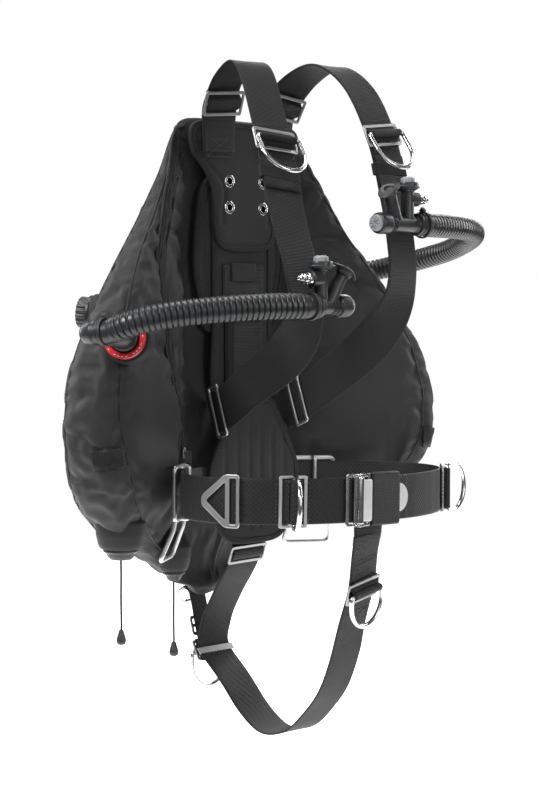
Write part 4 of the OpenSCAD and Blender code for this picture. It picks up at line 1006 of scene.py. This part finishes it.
def grooved_panel(name, half, front, thick, centre, grooves, node, crown=1.0, holes=()):
    """A bound panel: foam that swells between its stitch lines and thins towards the bound edge."""
    outline = closed_curve(mirrored(half), 14)
    outline = even(np.vstack([outline, outline[:1]]), 3.0)[:-1]
    levels = np.linspace(1, 0.012, 46)
    centre = np.array(centre, float)
    rings = []

    def heights(flat):
        edge = nearest(flat, outline)
        rise = crown * (1 - np.exp(-(edge / 9) ** 2)) - 1.3 * np.exp(-(edge / 5) ** 2)
        for line in grooves:
            gap = nearest(flat, even(line, 2.0))
            rise = rise - GROOVE_DEPTH * np.exp(-(gap / 3.2) ** 2)
        return rise

    for level in levels[::-1]:
        flat = centre + level * (outline - centre)
        rings.append(np.column_stack([flat[:, 0], np.full(len(flat), front + thick), flat[:, 1]]))
    for level in levels:
        flat = centre + level * (outline - centre)
        rings.append(np.column_stack([flat[:, 0], front - heights(flat), flat[:, 1]]))
    verts, faces, _ = skin_data(rings)
    uvs = [(verts[i][0], verts[i][2]) for face in faces for i in face]
    obj = new_object(name, verts, faces, uvs)
    for x, z, radius in holes:
        cutter = new_object("cutter", *skin_data(tube_rings([[x, front - 20, z], [x, front + thick + 20, z]],
                                                            radius, 32))[:2])
        boolean = obj.modifiers.new("hole", "BOOLEAN")
        boolean.operation, boolean.object, boolean.solver = "DIFFERENCE", cutter, "EXACT"
        cut = bpy.data.meshes.new_from_object(evaluated(obj))
        obj.modifiers.clear()
        obj.data = cut
        bpy.data.objects.remove(cutter)
    finish_piece(obj, "pad_cloth", HARNESS, [node])
    for line in grooves:
        flat = even(line, 2.0)
        places = np.column_stack([flat[:, 0], front - heights(flat) - 0.15, flat[:, 1]])
        stitch_line(places, [[0, -1, 0]] * len(places))
    edge_tape(name + "_binding", outline, front, thick)


def edge_tape(name, outline, front, thick):
    """Grosgrain tape folded over a panel's edge and stitched down."""
    n, reach = len(outline), 6.5
    section = [(-reach, -0.9), (-2, -1.0), (0.2, -0.5), (1.0, 0.25 * thick), (1.0, 0.75 * thick),
               (0.2, thick + 0.5), (-2, thick + 1.0), (-reach, thick + 0.9), (-reach + 2, thick / 2)]
    section = smooth_corners(section, 0.9)
    rings, seam = [], []
    area = sum(outline[i - 1][0] * outline[i][1] - outline[i][0] * outline[i - 1][1] for i in range(n))
    for i in range(n):
        run = unit(outline[(i + 1) % n] - outline[i - 1])
        out = np.array([run[1], -run[0]]) * (1 if area > 0 else -1)
        x, z = outline[i]
        rings.append([[x + a * out[0], front + b, z + a * out[1]] for a, b in section])
        seam.append([x - 4.8 * out[0], front - 1.25, z - 4.8 * out[1]])
    piece(name, [skin_data(rings, wrap=True)], "binding")
    seam.append(seam[0])
    stitch_line(seam, [[0, -1, 0]] * len(seam), radius=0.35)


GROMMETS = [(x * GROMMET_DX / 2, z * GROMMET_DZ / 2) for x in (-1, 1) for z in (-1, 1)]


def offset_half(half, inward, top, bottom):
    """The part of a panel's outline between two heights, moved inward, for both sides."""
    outline = closed_curve(mirrored(half), 14)
    centre = outline.mean(axis=0)
    out = []
    for side in (-1, 1):
        line = [p for p in outline if p[0] * side > 2 and bottom < p[1] < top]
        line.sort(key=lambda p: -p[1])
        out.append(np.array([p - inward * unit(p - centre) for p in line]))
    return out


top_grooves = offset_half(TOP_PAD_HALF, 17, 66, -48)
grooved_panel("top_pad_shell", TOP_PAD_HALF, 1.4, PAD_T - 1.4, (0, 12), top_grooves, "top_pad",
              holes=[(x, z, GROMMET_R + 1.6) for x, z in GROMMETS])
grooved_panel("weight_pocket_shell", POCKET_HALF, SPINE_Y + SPINE_T + 1.2, POCKET_T - 1, (0, -70),
              offset_half(POCKET_HALF, 15, 20, -150), "weight_pocket", holes=[(x, z, 6) for x, z in GROMMETS])
grooved_panel("spine_shell", SPINE_HALF, SPINE_Y + 0.2, SPINE_T - 0.2, (0, -90), [], "spine_panel", crown=0.2,
              holes=[(x, z, 6) for x, z in GROMMETS])
lumbar_grooves = [np.array([[1.05 * x, -262 - abs(x) * 0.5], [x, -300], [x, -350],
                            [0.95 * x, -398 + abs(x) * 0.3]]) for x in (-48, -28, -9, 9, 28, 48)]
grooved_panel("lumbar_shell", LUMBAR_HALF, LUMBAR_Y + 0.8, PAD_T - 1.2, (0, -330), lumbar_grooves,
              "lumbar_pad")


def grommets():
    flange = [[GROMMET_R, 0.6], [GROMMET_R + 0.4, 0.1], [GROMMET_R + 1.6, 0], [GROMMET_R + 3.4, 0.3],
              [GROMMET_R + 4, 1.2], [GROMMET_R + 1.4, 1.4], [GROMMET_R + 1.4, PAD_T - 0.2],
              [GROMMET_R + 4, PAD_T], [GROMMET_R + 3.4, PAD_T + 0.7], [GROMMET_R, PAD_T + 0.8]]
    parts = [lathe(flange, axes_matrix([x, 0, z], [1, 0, 0], [0, 0, -1], [0, 1, 0]), 48, 0.4, ring=True)
             for x, z in GROMMETS]
    piece("steel_eyelets", parts, "polished_steel", replaces=["grommets"])


grommets()


def facing_chest(y, z):
    return axes_matrix([0, y, z], [1, 0, 0], [0, 0, 1], [0, -1, 0])


def spine_details():
    """Webbing patches, the hook tape and the bar slider sewn down the spine."""
    for index, (z, width, height, front) in enumerate([(-101, 66, 38, 7.0), (-185, 60, 84, 5.7)]):
        rows = np.array([[0, front, z + s * height / 2, 1, 0, 0] for s in (-1, 0, 1)])
        patch = ribbon(rows, 8, width, 1.3, ripple=0.2, seed=index)
        piece("spine_patch_" + str(index + 1), [patch], "webbing")
        box_stitch(facing_chest(front, z), 0.9, width - 8, height - 8, crossed=False)
    rows = np.array([[-22, 4.8, -226, 1, 0, 0], [-22, 4.8, -185, 1, 0, 0], [-22, 4.8, -146, 1, 0, 0]])
    piece("hook_tape", [ribbon(rows, 6, 12, 1.0, ripple=0.1)], "hook_tape")
    slot = [[-20, 6.2, -92, 0, 0, 1], [0, 5.6, -92, 0, 0, 1], [20, 6.2, -92, 0, 0, 1]]
    piece("spine_loop", [ribbon(np.array(slot), 6, 22, 1.2, ripple=0.1)], "webbing")
    plate("spine_bar_slider", rounded(62, 16, 2), [rounded(53, 8, 1)], PLATE_T, facing_chest(5, -140),
          "satin_steel", replaces=["spine_slider"])


spine_details()


# ---------------------------------------------------------------- harness hardware

def slider_outline(width, height, three_bars):
    """Outline and slots of a slider that webbing weaves through."""
    if not three_bars:
        return rounded(width, height, 3), [rounded(width - 6, height - 2 * SLIDER_BAR, 1)]
    slot_h = (height - 3 * SLIDER_BAR) / 2
    middle = (SLIDER_BAR + slot_h) / 2
    return rounded(width, height, 3), [rounded(width - 6, slot_h, 1, (0, s * middle)) for s in (-1, 1)]


def slider(name, place, width=WEB_W + 7, height=27.0, three_bars=False, material="satin_steel", replaces=()):
    outline, slots = slider_outline(width, height, three_bars)
    return plate(name, outline, slots, PLATE_T, place, material, 0.7, replaces=replaces)


def d_ring(name, place, body, depth, half=28.0):
    """A welded D-ring that hangs from its straight bar. Its node has its body's name."""
    leg = depth - half
    arc = [[half * math.cos(a), leg + half * math.sin(a), 0] for a in np.linspace(0, math.pi, 25)]
    ring = wire([[-half, 0, 0], [half, 0, 0], *arc], RING_R, place, True, 4.5, 24)
    piece(name, [ring], "polished_steel", body, [body])


def ring_fold(place, width=WEB_W - 2):
    """The sewn fold of webbing round a ring's bar."""
    foot = WEB_T / 2 - SLEEVE_LIFT
    outer = RING_R + SLEEVE_T / 2 + 0.1
    over = [[outer * math.cos(a), outer * math.sin(a)] for a in np.radians(np.linspace(-28, 208, 17))]
    path = [[14, foot + 0.7], [9.5, foot + 0.9], [6, foot + 2.6], *over, [-6, foot + 2.6], [-9.5, foot + 0.9],
            [-14, foot + 0.7]]
    for y in (15.5, -15.5):
        box_stitch(place @ shift(y=y), foot + 1.7, width - 8, 7, crossed=False)
    return band(flat_fillet(path, 1.2, False, 3), width, SLEEVE_T, place)


def hump(place, height, lift):
    """The turn of webbing that stands over a slider's middle bar."""
    top = lift + PLATE_T + GAP + FOLD_T / 2
    reach = height / 2 - SLIDER_BAR
    path = [[-reach - 3, -0.6], [-reach + 1, 0.4], [-5.2, top - 1.4], [-2.2, top], [2.2, top],
            [5.2, top - 1.4], [reach - 1, 0.4], [reach + 3, -0.6]]
    return band(flat_fillet(path, 2.2, False, 4), WEB_W - 1, FOLD_T, place)


def sleeve(a, b, radius, steps, section, place, order=(0, 1, 2)):
    """Webbing sewn into a flat loop of half sizes a and b. order says which axis each part lies on."""
    loop = flat_fillet([[-a, -b], [a, -b], [a, b], [-a, b]], radius, True, steps)
    rings = []
    for i, p in enumerate(loop):
        run = unit(loop[(i + 1) % len(loop)] - loop[i - 1])
        flat = p + np.outer(section[:, 1], [run[1], -run[0]])
        ring = np.column_stack([flat[:, 0], section[:, 0], flat[:, 1]])
        rings.append(moved(ring[:, order], place))
    return skin_data(rings, wrap=True)


def keeper(rows, u):
    return sleeve(WEB_W / 2 + 1.8, 2.6, 2.2, 5, web_section(14, 1.6), on_strap(rows, u))


def shoulder(side, rows, seed):
    """One shoulder strap with its glide, ring and folded layers."""
    strap_name = side + "_shoulder_strap"
    glide = on_strap(rows, TOP_GLIDE_AT, WEB_T / 2, back=True)
    ring = on_strap(rows, RING_AT, SLEEVE_LIFT)
    second = ribbon(rows, 10, WEB_W - 1, 1.6, WEB_T / 2 + 1.0, RING_AT + 0.42, KEEPER_AT + 0.36, 0.1)
    layers = [ribbon(rows, 10, seed=seed), hump(glide, 30, GLIDE_LIFT), ring_fold(ring), second]
    piece(strap_name + "_web", layers, "webbing", replaces=[strap_name])
    slider(side + "_ring_slider", on_strap(rows, RING_AT, PLATE_LIFT), replaces=[side + "_shoulder_slider"])
    d_ring(side + "_shoulder_dee", ring @ turn(12, "X"), side + "_shoulder_ring", 48)
    slider(side + "_top_glide", on_strap(rows, TOP_GLIDE_AT, WEB_T / 2 + GLIDE_LIFT, back=True), height=30,
           three_bars=True, material="dark_steel", replaces=shared(side, "top_tri_glides"))
    slider(side + "_lumbar_slider", on_strap(rows, LUMBAR_AT, PLATE_LIFT + 1.4), WEB_W + 12, 22,
           replaces=shared(side, "lumbar_sliders"))
    for back in (True, False):
        box_stitch(on_strap(rows, 0.35, 0, back), WEB_T / 2 + 0.2, 40, 26)


shoulder("right", RIGHT_STRAP, 0.4)
shoulder("left", LEFT_STRAP, 1.9)
piece("elastic_keepers", [keeper(RIGHT_STRAP, KEEPER_AT), keeper(LEFT_STRAP, KEEPER_AT - 0.05)], "elastic",
      replaces=["webbing_keepers"])


# ---------------------------------------------------------------- belt

def belt():
    """Both halves of the belt with their rings and sliders, the triangle and the free end's tip."""
    right_rows = belt_rows(-BELT_END, BELT_MEET - 0.1, 40)
    left_rows = belt_rows(BELT_MEET + 0.1, BELT_END, 40)
    right_ring, left_ring = on_belt(-42, SLEEVE_LIFT), on_belt(58, SLEEVE_LIFT)
    piece("belt_right_web", [ribbon(right_rows, 3, ripple=0.25), ring_fold(right_ring)], "belt_webbing",
          replaces=["belt_right"])
    free_end = ribbon(belt_rows(-12, 11, 12), 3, WEB_W - 1, 1.4, lift=WEB_T / 2 + 0.75, ripple=0.1)
    piece("belt_left_web", [ribbon(left_rows, 3, ripple=0.25, seed=1), ring_fold(left_ring), free_end],
          "belt_webbing", replaces=["belt_left"])
    for side, angle in (("right", -42), ("left", 58)):
        slider(side + "_belt_slider", on_belt(angle, PLATE_LIFT), height=32,
               replaces=shared(side, "belt_ring_sliders"))
    d_ring("right_belt_dee", right_ring @ turn(96, "X"), "right_belt_ring", 42)
    d_ring("left_belt_dee", left_ring @ turn(34, "X"), "left_belt_ring", 42)
    plate("belt_triangle", smooth_corners([(29, 4), (29, 21), (-29, 21), (-29, 4), (-5, -24), (5, -24)], 4),
          [rounded(50, 8, 1.5, (0, 13.5)), smooth_corners([(21, 4.5), (-21, 4.5), (0, -19)], 3)], PLATE_T,
          on_belt(-75, PLATE_LIFT), "satin_steel", 0.6, replaces=["triangle_slider"])
    tip = [(16 * math.cos(a), 16 * math.sin(a)) for a in np.linspace(0, math.pi, 33)]
    plate("belt_tip", tip, [], 1.6, on_belt(5.8, PLATE_LIFT + 0.3), "brushed_steel", 0.3,
          replaces=["buckle_plate"])


belt()


def buckle():
    """The cam buckle: frame, ears, pin, roller and lever."""
    place = on_belt(-14.8, PLATE_LIFT + 1)
    slots = [rounded(WEB_W + 1, 7, 1, (0, 9 * s)) for s in (-1, 1)]
    plate("buckle_plate_frame", rounded(WEB_W + 8, 33, 3), slots, PLATE_T, place, "polished_steel", 0.6,
          replaces=["buckle_frame"])
    ear = smooth_corners([(-9, -4), (-9, 4), (-1, 8), (-1, -8)], 2)
    for s in (-1, 1):
        at_side = place @ shift(x=s * (WEB_W / 2 + 2.5) - PLATE_T / 2) @ turn(90, "Y")
        plate("buckle_ear_" + ("a" if s < 0 else "b"), ear, [rounded(3.2, 3.2, 1.5, (-6, 0))], PLATE_T,
              at_side, "polished_steel", 0.4)
    pin = place @ shift(z=6) @ turn(90, "Y")
    half = (WEB_W + 9) / 2
    pin_part = lathe([[0, -half], [1.5, -half], [1.5, half], [0, half]], pin, 24, 0.3)
    reel = (WEB_W + 1) / 2
    roller = lathe([[0, -reel], [3.6, -reel], [3.9, 1 - reel], [3.9, reel - 1], [3.6, reel], [0, reel]],
                   pin, 40, 0.4)
    piece("buckle_roller", [pin_part, roller], "chrome_plate", "buckle_lever", ["buckle_lever"])
    plate("buckle_tongue", rounded(WEB_W - 4, 14, 2.5), [], 2, place @ shift(y=7.5, z=6.6),
          "brushed_steel", 0.6, "buckle_lever")


buckle()


# ---------------------------------------------------------------- crotch and tail straps

def serrated_bar(place):
    """The toothed bar of the rear slider, over the strap's front face."""
    half = WEB_W / 2 + 3
    teeth = [(half - 2.4 * k, 4.2 if k % 2 else 3.0) for k in range(1, int(half / 1.2))]
    outline = [(half, -4.5), (half, 4.5), *teeth, (-half, 4.5), (-half, -4.5)]
    plate("rear_crotch_teeth", outline, [], 1.8, place, "dark_steel", 0.3)


def crotch():
    """The crotch strap from the lumbar pad to the belt, and the short tail strap behind it."""
    front = on_strap(CROTCH_STRAP, FRONT_RING_AT, SLEEVE_LIFT)
    rear = on_strap(CROTCH_STRAP, REAR_RING_AT, SLEEVE_LIFT)
    top_glide = on_strap(CROTCH_STRAP, 1.5, WEB_T / 2, back=True)
    joint_rows = np.array([[-21, -218.6, -388, 1, 0.1, 0], [-20, -218.4, -376, 1, 0.06, 0],
                           [-18.5, -218.2, -364, 1, 0.02, 0]])
    piece("crotch_web", [ribbon(CROTCH_STRAP, 8, ripple=0.5, seed=0.7), ring_fold(front), ring_fold(rear),
                         hump(top_glide, 24, GAP + 0.2), ribbon(joint_rows, 6, 47, ripple=0.1)],
          "webbing", replaces=["crotch_strap"])
    belt_loop = sleeve(4.6, 28.5, 3.6, 6, web_section(44, 2.3), on_belt(-1.7), (2, 1, 0))
    piece("crotch_belt_loop", [belt_loop], "webbing", replaces=["crotch_loop"])
    box_stitch(on_strap(CROTCH_STRAP, 13.2, 0), WEB_T / 2 + 0.2, 40, 20)
    box_stitch(on_strap(CROTCH_STRAP, 14.75, 0), WEB_T / 2 + 0.2, 40, 4, crossed=False)
    slider("crotch_tri_glide", on_strap(CROTCH_STRAP, 1.5, PLATE_LIFT, back=True), height=24, three_bars=True,
           material="dark_steel", replaces=["crotch_sliders"])
    for name, u in (("rear", REAR_RING_AT), ("front", FRONT_RING_AT)):
        slider(name + "_crotch_slider", on_strap(CROTCH_STRAP, u, PLATE_LIFT), height=26,
               material="dark_steel")
    slider("tail_slider", on_strap(TAIL_STRAP, 2.6, PLATE_LIFT), TAIL_W + 7, 24, True, "dark_steel")
    serrated_bar(on_strap(CROTCH_STRAP, REAR_RING_AT + 0.1, WEB_T / 2 + 0.2, back=True))
    d_ring("front_crotch_dee", front @ turn(170, "X"), "front_crotch_ring", 40)
    d_ring("rear_crotch_dee", rear @ turn(30, "X"), "rear_crotch_ring", 44)
    tail = on_strap(TAIL_STRAP, 1.1, SLEEVE_LIFT)
    piece("tail_web", [ribbon(TAIL_STRAP, 8, TAIL_W), ring_fold(tail, TAIL_W - 2)], "webbing",
          replaces=["tail_strap"])
    d_ring("tail_dee", tail @ turn(40, "X"), "tail_ring", 26, 15.5)


crotch()


# ---------------------------------------------------------------- door handle rings

HANDLE_LIFT = WEB_T / 2 + GAP + HANDLE_R + 1.2
HANDLE_WINDOW = [[-29, -28, 0], [31, -28, 0], [31, 28, 0], [-29, 28, 0]]
HANDLE_LOOP = [[31, -25, 0], [42, -25, 2], [77, -31, 16], [77, 31, 16], [42, 25, 2], [31, 25, 0]]

for side, angle in (("right", -132), ("left", 147)):
    place = on_belt(angle, HANDLE_LIFT)
    inner = -2 * HANDLE_LIFT
    bracket = [[-29, 0, 0], [-29, 0, inner], [31, 0, inner], [31, 0, 0]]
    wires = [wire(HANDLE_WINDOW, HANDLE_R, place), wire(HANDLE_LOOP, HANDLE_R, place, False, 9),
             wire(bracket, HANDLE_R, place, False, 3)]
    piece(side + "_handle_wire", wires, "satin_steel", replaces=[side + "_door_handle"])


# ---------------------------------------------------------------- inflators and valves

def inflator(side, place, length, stem, mouth):
    """A power inflator: body, stem, caps and mouthpiece."""
    axis_x = place @ turn(90, "Y")
    up = place @ shift(x=stem)
    mouth_r = EXHAUST_R + 0.4
    collar = lathe([[0, 0.1], [12.6, 0.1], [13, 1], [13, 4.4], [12.2, 5.1], [TUBE_R + 0.6, 5.6], [TUBE_R, 8],
                    [TUBE_R, length - 18], [10, length - 16.4], [12.4, length - 15.6], [12.4, length - 3],
                    [11.6, length - 0.3], [mouth_r, length], [mouth_r, length - 8], [0, length - 8]],
                   axis_x, 56, 0.8)
    ribs = [lathe([[TUBE_R, h], [TUBE_R + 0.9, h + 0.3], [TUBE_R + 0.9, h + 1.3], [TUBE_R, h + 1.6]],
                  axis_x, 48, 0.3) for h in np.arange(length - 27, length - 19, 2.6)]
    column = lathe([[0, 0], [7.9, 0], [7.6, 8], [7.3, 36], [8.2, 38.4], [12, 40.2], [12.6, 41],
                    [12.6, STEM_TOP - 1.4], [12, STEM_TOP], [BUTTON_R + 0.4, STEM_TOP],
                    [BUTTON_R + 0.4, 40.5], [0, 40.5]], up, 56, 0.8)
    lip = lathe([[13.2, 41.2], [17, 41.6], [17.6, 42.6], [17, 43.6], [13.2, 44]], up @ shift(x=1.5), 56, 0.6,
                stretch=(1, 0.74), ring=True)
    boss = lathe([[0, 0], [7.4, 0], [8.4, 1], [8.4, 14.8], [7.8, 16], [3.2, 16], [3.2, 9], [0, 9]],
                 up @ shift(z=NIPPLE_Z) @ turn(-90, "Y"), 48, 0.7)
    base = np.array([mouth, -4, 27.0])
    end = base + 7 * unit(MOUTH_LEAN)
    arm_points = [[mouth - 12, 0, 2], [mouth - 7, -1.4, 11], [mouth - 1, -3.6, 24], end]
    arm_path = smooth_path(np.array(arm_points), 1.2)
    arm = skin_data(tube_rings(moved(arm_path, place), np.linspace(8.2, 6.8, len(arm_path)), 32))
    piece(side + "_inflator_body", [collar, *ribs, column, lip, boss, arm], "black_plastic",
          replaces=[side + "_inflator"])
    mouth_place = place @ aim(base + 7.2 * unit(MOUTH_LEAN), MOUTH_LEAN, (0, 1, 0))
    cone = lathe([[5.5, 1], [5.5, 0], [8, 0], [8.6, 1], [8, 2.2], [8.8, 3.2], [8.4, 4.4], [9.8, 6], [10, 7]],
                 mouth_place, 48, 0.4)
    bite = [[5.5, 1], [5.5, 8.6], [9, 9.3], [14.6, 8.4], [16, 7.4], [15.4, 6.2], [10, 5.6], [8, 4.5]]
    c, s = np.cos(turns(64)), np.sin(turns(64))
    guard = [moved(np.column_stack([r * c, (0.72 if r > 10 else 1) * r * s, h - 0.16 * r * c ** 2]),
                   mouth_place) for r, h in softened(bite, 0.8)]
    piece(side + "_mouthpiece", [cone, skin_data(guard, caps=False)], "soft_rubber",
          replaces=shared(side, "mouthpieces"))
    plug_place = place @ shift(x=stem - 10, z=NIPPLE_Z) @ turn(-90, "Y")
    plug = lathe([[0, 0.4], [3.1, 0.4], [3.1, 6.2], [6.4, 6.2], [6.6, 7], [6.6, 10.4], [6, 11], [4.2, 11.6],
                  [4.2, 14], [5.4, 14.6], [5.4, 17], [3.4, 18], [3.4, 22.4], [2.4, 23], [1.5, 23],
                  [1.5, 19], [0, 19]], plug_place, 40, 0.3)
    piece(side + "_quick_plug", [plug], "chrome_plate",
          replaces=shared(side, "inflator_nipples"))
    button = lathe([[0, STEM_TOP - 4.2], [BUTTON_R, STEM_TOP - 4.2], [BUTTON_R, STEM_TOP + 4],
                    [BUTTON_R - 0.8, STEM_TOP + 5.2], [0, STEM_TOP + 5.2]], up, 48, 0.6,
                   lambda a: 1 + 0.015 * math.cos(24 * a))
    ridges = [lathe([[0, 0], [1.5, 0], [1.3, 1.2], [0, 1.3]],
                    up @ shift(4.4 * math.cos(a), 4.4 * math.sin(a), STEM_TOP + 5), 12, 0.3)
              for a in np.radians(np.arange(0, 360, 60))]
    pip = lathe([[0, 0], [1.0, 0], [0.8, 1.2], [0, 1.3]], up @ shift(0, 0, STEM_TOP + 5), 12, 0.3)
    piece(side + "_inflate_cap", [button, *ridges, pip], "grey_plastic", side + "_inflate_button",
          [side + "_inflate_button"])
    exhaust = lathe([[0, length - 3.8], [EXHAUST_R, length - 3.8], [EXHAUST_R, length + 3],
                     [EXHAUST_R - 0.9, length + 4.2], [6.8, length + 3.7], [0, length + 3.5]], axis_x, 48)
    star = []
    for a in np.radians(np.arange(0, 360, 45)):
        ray = [[r * math.cos(a), r * math.sin(a), length + h] for r, h in ((1.0, 3.9), (7.4, 4.2))]
        star.append(skin_data(tube_rings(moved(ray, axis_x), [0.9, 0.55], 10)))
    piece(side + "_exhaust_cap", [exhaust, *star], "grey_plastic", side + "_deflate_button",
          [side + "_deflate_button"])
    vent = [lathe([[0, 0], [1.3, 0], [1.1, 0.4], [0, 0.2]],
                  axis_x @ turn(a, "Z") @ shift(x=12.3, z=length - 9) @ turn(90, "Y"), 12, 0.2)
            for a in (60, 90, 120, 150)]
    piece(side + "_vents", vent, "soft_rubber")


inflator("right", shift(*RIGHT_INFLATOR_AT), 48, 8, 31)
inflator("left", shift(*LEFT_INFLATOR_AT) @ np.diag([-1, 1, 1, 1]), 70, 19, 50)


def elbow(side, seat, face, bend, out):
    """The swivel elbow between a valve's neck and its hose."""
    face, out = unit(face), unit(out)
    knee = seat + 14 * face
    line = filleted([seat + 0.4 * face, knee, bend, bend + (BEND_OUT - 0.2) * out], 13, False, 12)
    line = even(line, 1.2)
    s = run_lengths(line)
    radii = np.interp(s - s[-1], [-s[-1], -10, -9, -6, -5, 0], [12.6, 12.8, 13.6, 13.6, 12.6, 12.6])
    body = skin_data(tube_rings(line, radii, 40))
    collar = lathe([[0, 0.4], [16.4, 0.4], [16.6, 2], [15.4, 5.4], [13.4, 7], [12, 7.2]], aim(seat, face),
                   56, 0.6)
    piece(side + "_elbow_shell", [body, collar], "black_plastic", replaces=[side + "_elbow"])


elbow("right", RIGHT_SEAT, RIGHT_FACE, RIGHT_BEND, RIGHT_OUT)
elbow("left", LEFT_SEAT, LEFT_FACE, LEFT_BEND, LEFT_OUT)


def valve_rings():
    """The locking rings round the necks: red on the right, black on the left."""
    profile = [[17.5, 0.2], [24, 0.2], [24, 3.2], [22.8, 4.6], [19, 5.2], [17.5, 4.6]]
    for side, seat, face, material in (("right", RIGHT_SEAT, RIGHT_FACE, "red_plastic"),
                                       ("left", LEFT_SEAT, LEFT_FACE, "black_plastic")):
        piece(side + "_locking_ring", [lathe(profile, aim(seat, face), 72, 0.5, ring=True)], material,
              replaces=shared(side, "right_valve_ring"))
    place = aim(RIGHT_SEAT, RIGHT_FACE)
    marks = []
    for a in range(0, 360, 12):
        if a % 60 == 48:
            continue
        r = 21.2
        arc = [[r * math.cos(t), r * math.sin(t), 4.95] for t in np.radians(np.linspace(a, a + 6, 5))]
        marks.append(skin_data(tube_rings(moved(arc, place), 0.42, 8)))
    piece("locking_ring_marks", marks, "white_print")


valve_rings()


def ties():
    """A ratchet cable tie round each hose end."""
    spots = [(np.array([-114, -222, -132.0]), [1, 0, 0]), (np.array([105, -186, -38.0]), [1, 0, 0]),
             (RIGHT_HOSE[0] + 5 * unit(RIGHT_OUT), RIGHT_OUT), (LEFT_HOSE[12] + 5 * unit(LEFT_OUT), LEFT_OUT)]
    parts = []
    for spot, direction in spots:
        place = aim(spot, direction)
        parts.append(lathe([[13.7, -2], [15.4, -2], [15.7, -1.4], [15.7, 1.4], [15.4, 2], [13.7, 2]], place,
                           56, 0.3, ring=True))
        parts.append(lathe([[0, -2.6], [3.6, -2.6], [3.9, -2], [3.9, 2], [3.6, 2.6], [0, 2.6]],
                           place @ shift(y=16.6), 4, 0.4))
    piece("hose_cable_ties", parts, "soft_rubber", replaces=["hose_ties"])


ties()


def caps():
    """The over-pressure valve and the two pull-dump valves."""
    place = aim(RELIEF_SEAT, RELIEF_FACE)
    relief = [lathe([[0, 0.2], [20, 0.2], [20, 3.6], [19, 4.4], [0, 4.4]], place, 72),
              lathe([[0, 4], [17.2, 4], [17.2, 14], [15.6, 16], [12, 16.2], [11, 15.2], [4, 15], [3, 16],
                     [0, 16]], place, 144, 0.6, lambda a: 1 + 0.03 * max(-1, min(1, 3 * math.sin(18 * a))))]
    piece("relief_valve_cap", relief, "black_plastic", replaces=["relief_valve"])
    for name, seat, r in (("main", MAIN_DUMP_SEAT, 20), ("reserve", RESERVE_DUMP_SEAT, 13)):
        place = aim(seat, DUMP_FACE)
        dome = lathe([[0, 0.2], [r, 0.2], [r, 3], [r - 2, 4], [r - 3.4, 5], [r - 5, 9], [r - 8, 12],
                      [2.3, 12.2], [2.3, 9], [0, 9]], place, 72, 0.6, lambda a: 1 + 0.012 * math.cos(16 * a))
        piece(name + "_dump_dome", [dome], "black_plastic", replaces=[name + "_dump_valve"])


caps()
build_stitches()

for name in ("main_bladder", "reserve_bladder"):
    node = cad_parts[name]
    node.data.materials.clear()
    node.data.materials.append(MATERIALS["bladder_film"])


# ---------------------------------------------------------------- floor and light

def around(d, s, z):
    """A place by its depth behind the vest, its distance to the right and its height, in metres."""
    return look * d + right * s + np.array([0, 0, z])


FLOOR_R, FLOOR_CENTRE = 1.5, around(0.85, 0, -0.72)
ROOM_LIGHT = 0.1
MIDDLE = (0, -0.08, -0.25)


def floor():
    """A plain round sheet of pale paper under the vest, bright enough to melt into the room."""
    rings = [[FLOOR_CENTRE + r * np.array([math.cos(a), math.sin(a), 0]) for a in turns(96)]
             for r in (0.02, 0.5, 1.0, FLOOR_R)]
    verts, faces, uvs = skin_data(np.array(rings) / MM, caps=False)
    obj = new_object("studio_floor", verts, faces, uvs)
    material, tree, shader, coordinates = blank("studio_paper", Roughness=0.9)
    grain = noise(tree, coordinates.outputs["Object"], 30, 4)
    tree.links.new(tint(tree, grain, (0.93, 0.93, 0.93), (0.96, 0.96, 0.96)), shader.inputs["Base Color"])
    shader.inputs["Emission Color"].default_value = (1, 1, 1, 1)
    shader.inputs["Emission Strength"].default_value = 0.9
    obj.data.materials.append(material)


def softbox(name, place, size, power):
    """A soft rectangular light, hidden from the camera, that looks at the middle of the vest."""
    data = bpy.data.lights.new(name, "AREA")
    data.shape, data.size, data.size_y = "RECTANGLE", size[0], size[1]
    data.energy = power
    obj = linked(name, data)
    obj.location = Vector(place)
    obj.rotation_euler = (Vector(MIDDLE) - Vector(place)).to_track_quat("-Z", "Y").to_euler()
    obj.visible_camera = False


def studio_world():
    """A white room to look at, which lights the vest as a grey one does, so that metal keeps its contrast."""
    world = bpy.data.worlds.new("studio")
    bpy.context.scene.world = world
    world.use_nodes = True
    tree = world.node_tree
    background = tree.nodes["Background"]
    background.inputs["Color"].default_value = (1, 1, 1, 1)
    seen = tree.nodes.new("ShaderNodeLightPath").outputs["Is Camera Ray"]
    strength = math_node(tree, "MULTIPLY_ADD", seen, 1 - ROOM_LIGHT, ROOM_LIGHT)
    tree.links.new(strength, background.inputs["Strength"])


floor()
for name, place, size, power in (("key_light", (-1.6, -1.5, 1.3), (0.8, 0.9), 62),
                                 ("fill_light", (-1.5, 1.7, 0.3), (0.9, 1.2), 13),
                                 ("top_light", (0.2, 0, 2.0), (1.6, 1.2), 34),
                                 ("rim_left", (0.9, -1.6, 0.5), (0.4, 1.5), 16),
                                 ("rim_right", (0.9, 1.6, 0.5), (0.4, 1.5), 16),
                                 ("front_card", (-2.7, 0.5, 0.5), (2.4, 2.0), 11),
                                 ("back_light", (2.4, 0.5, 0.8), (1.2, 1.2), 28)):
    softbox(name, around(*place), size, power)
studio_world()
bpy.context.scene.view_settings.view_transform = "Standard"
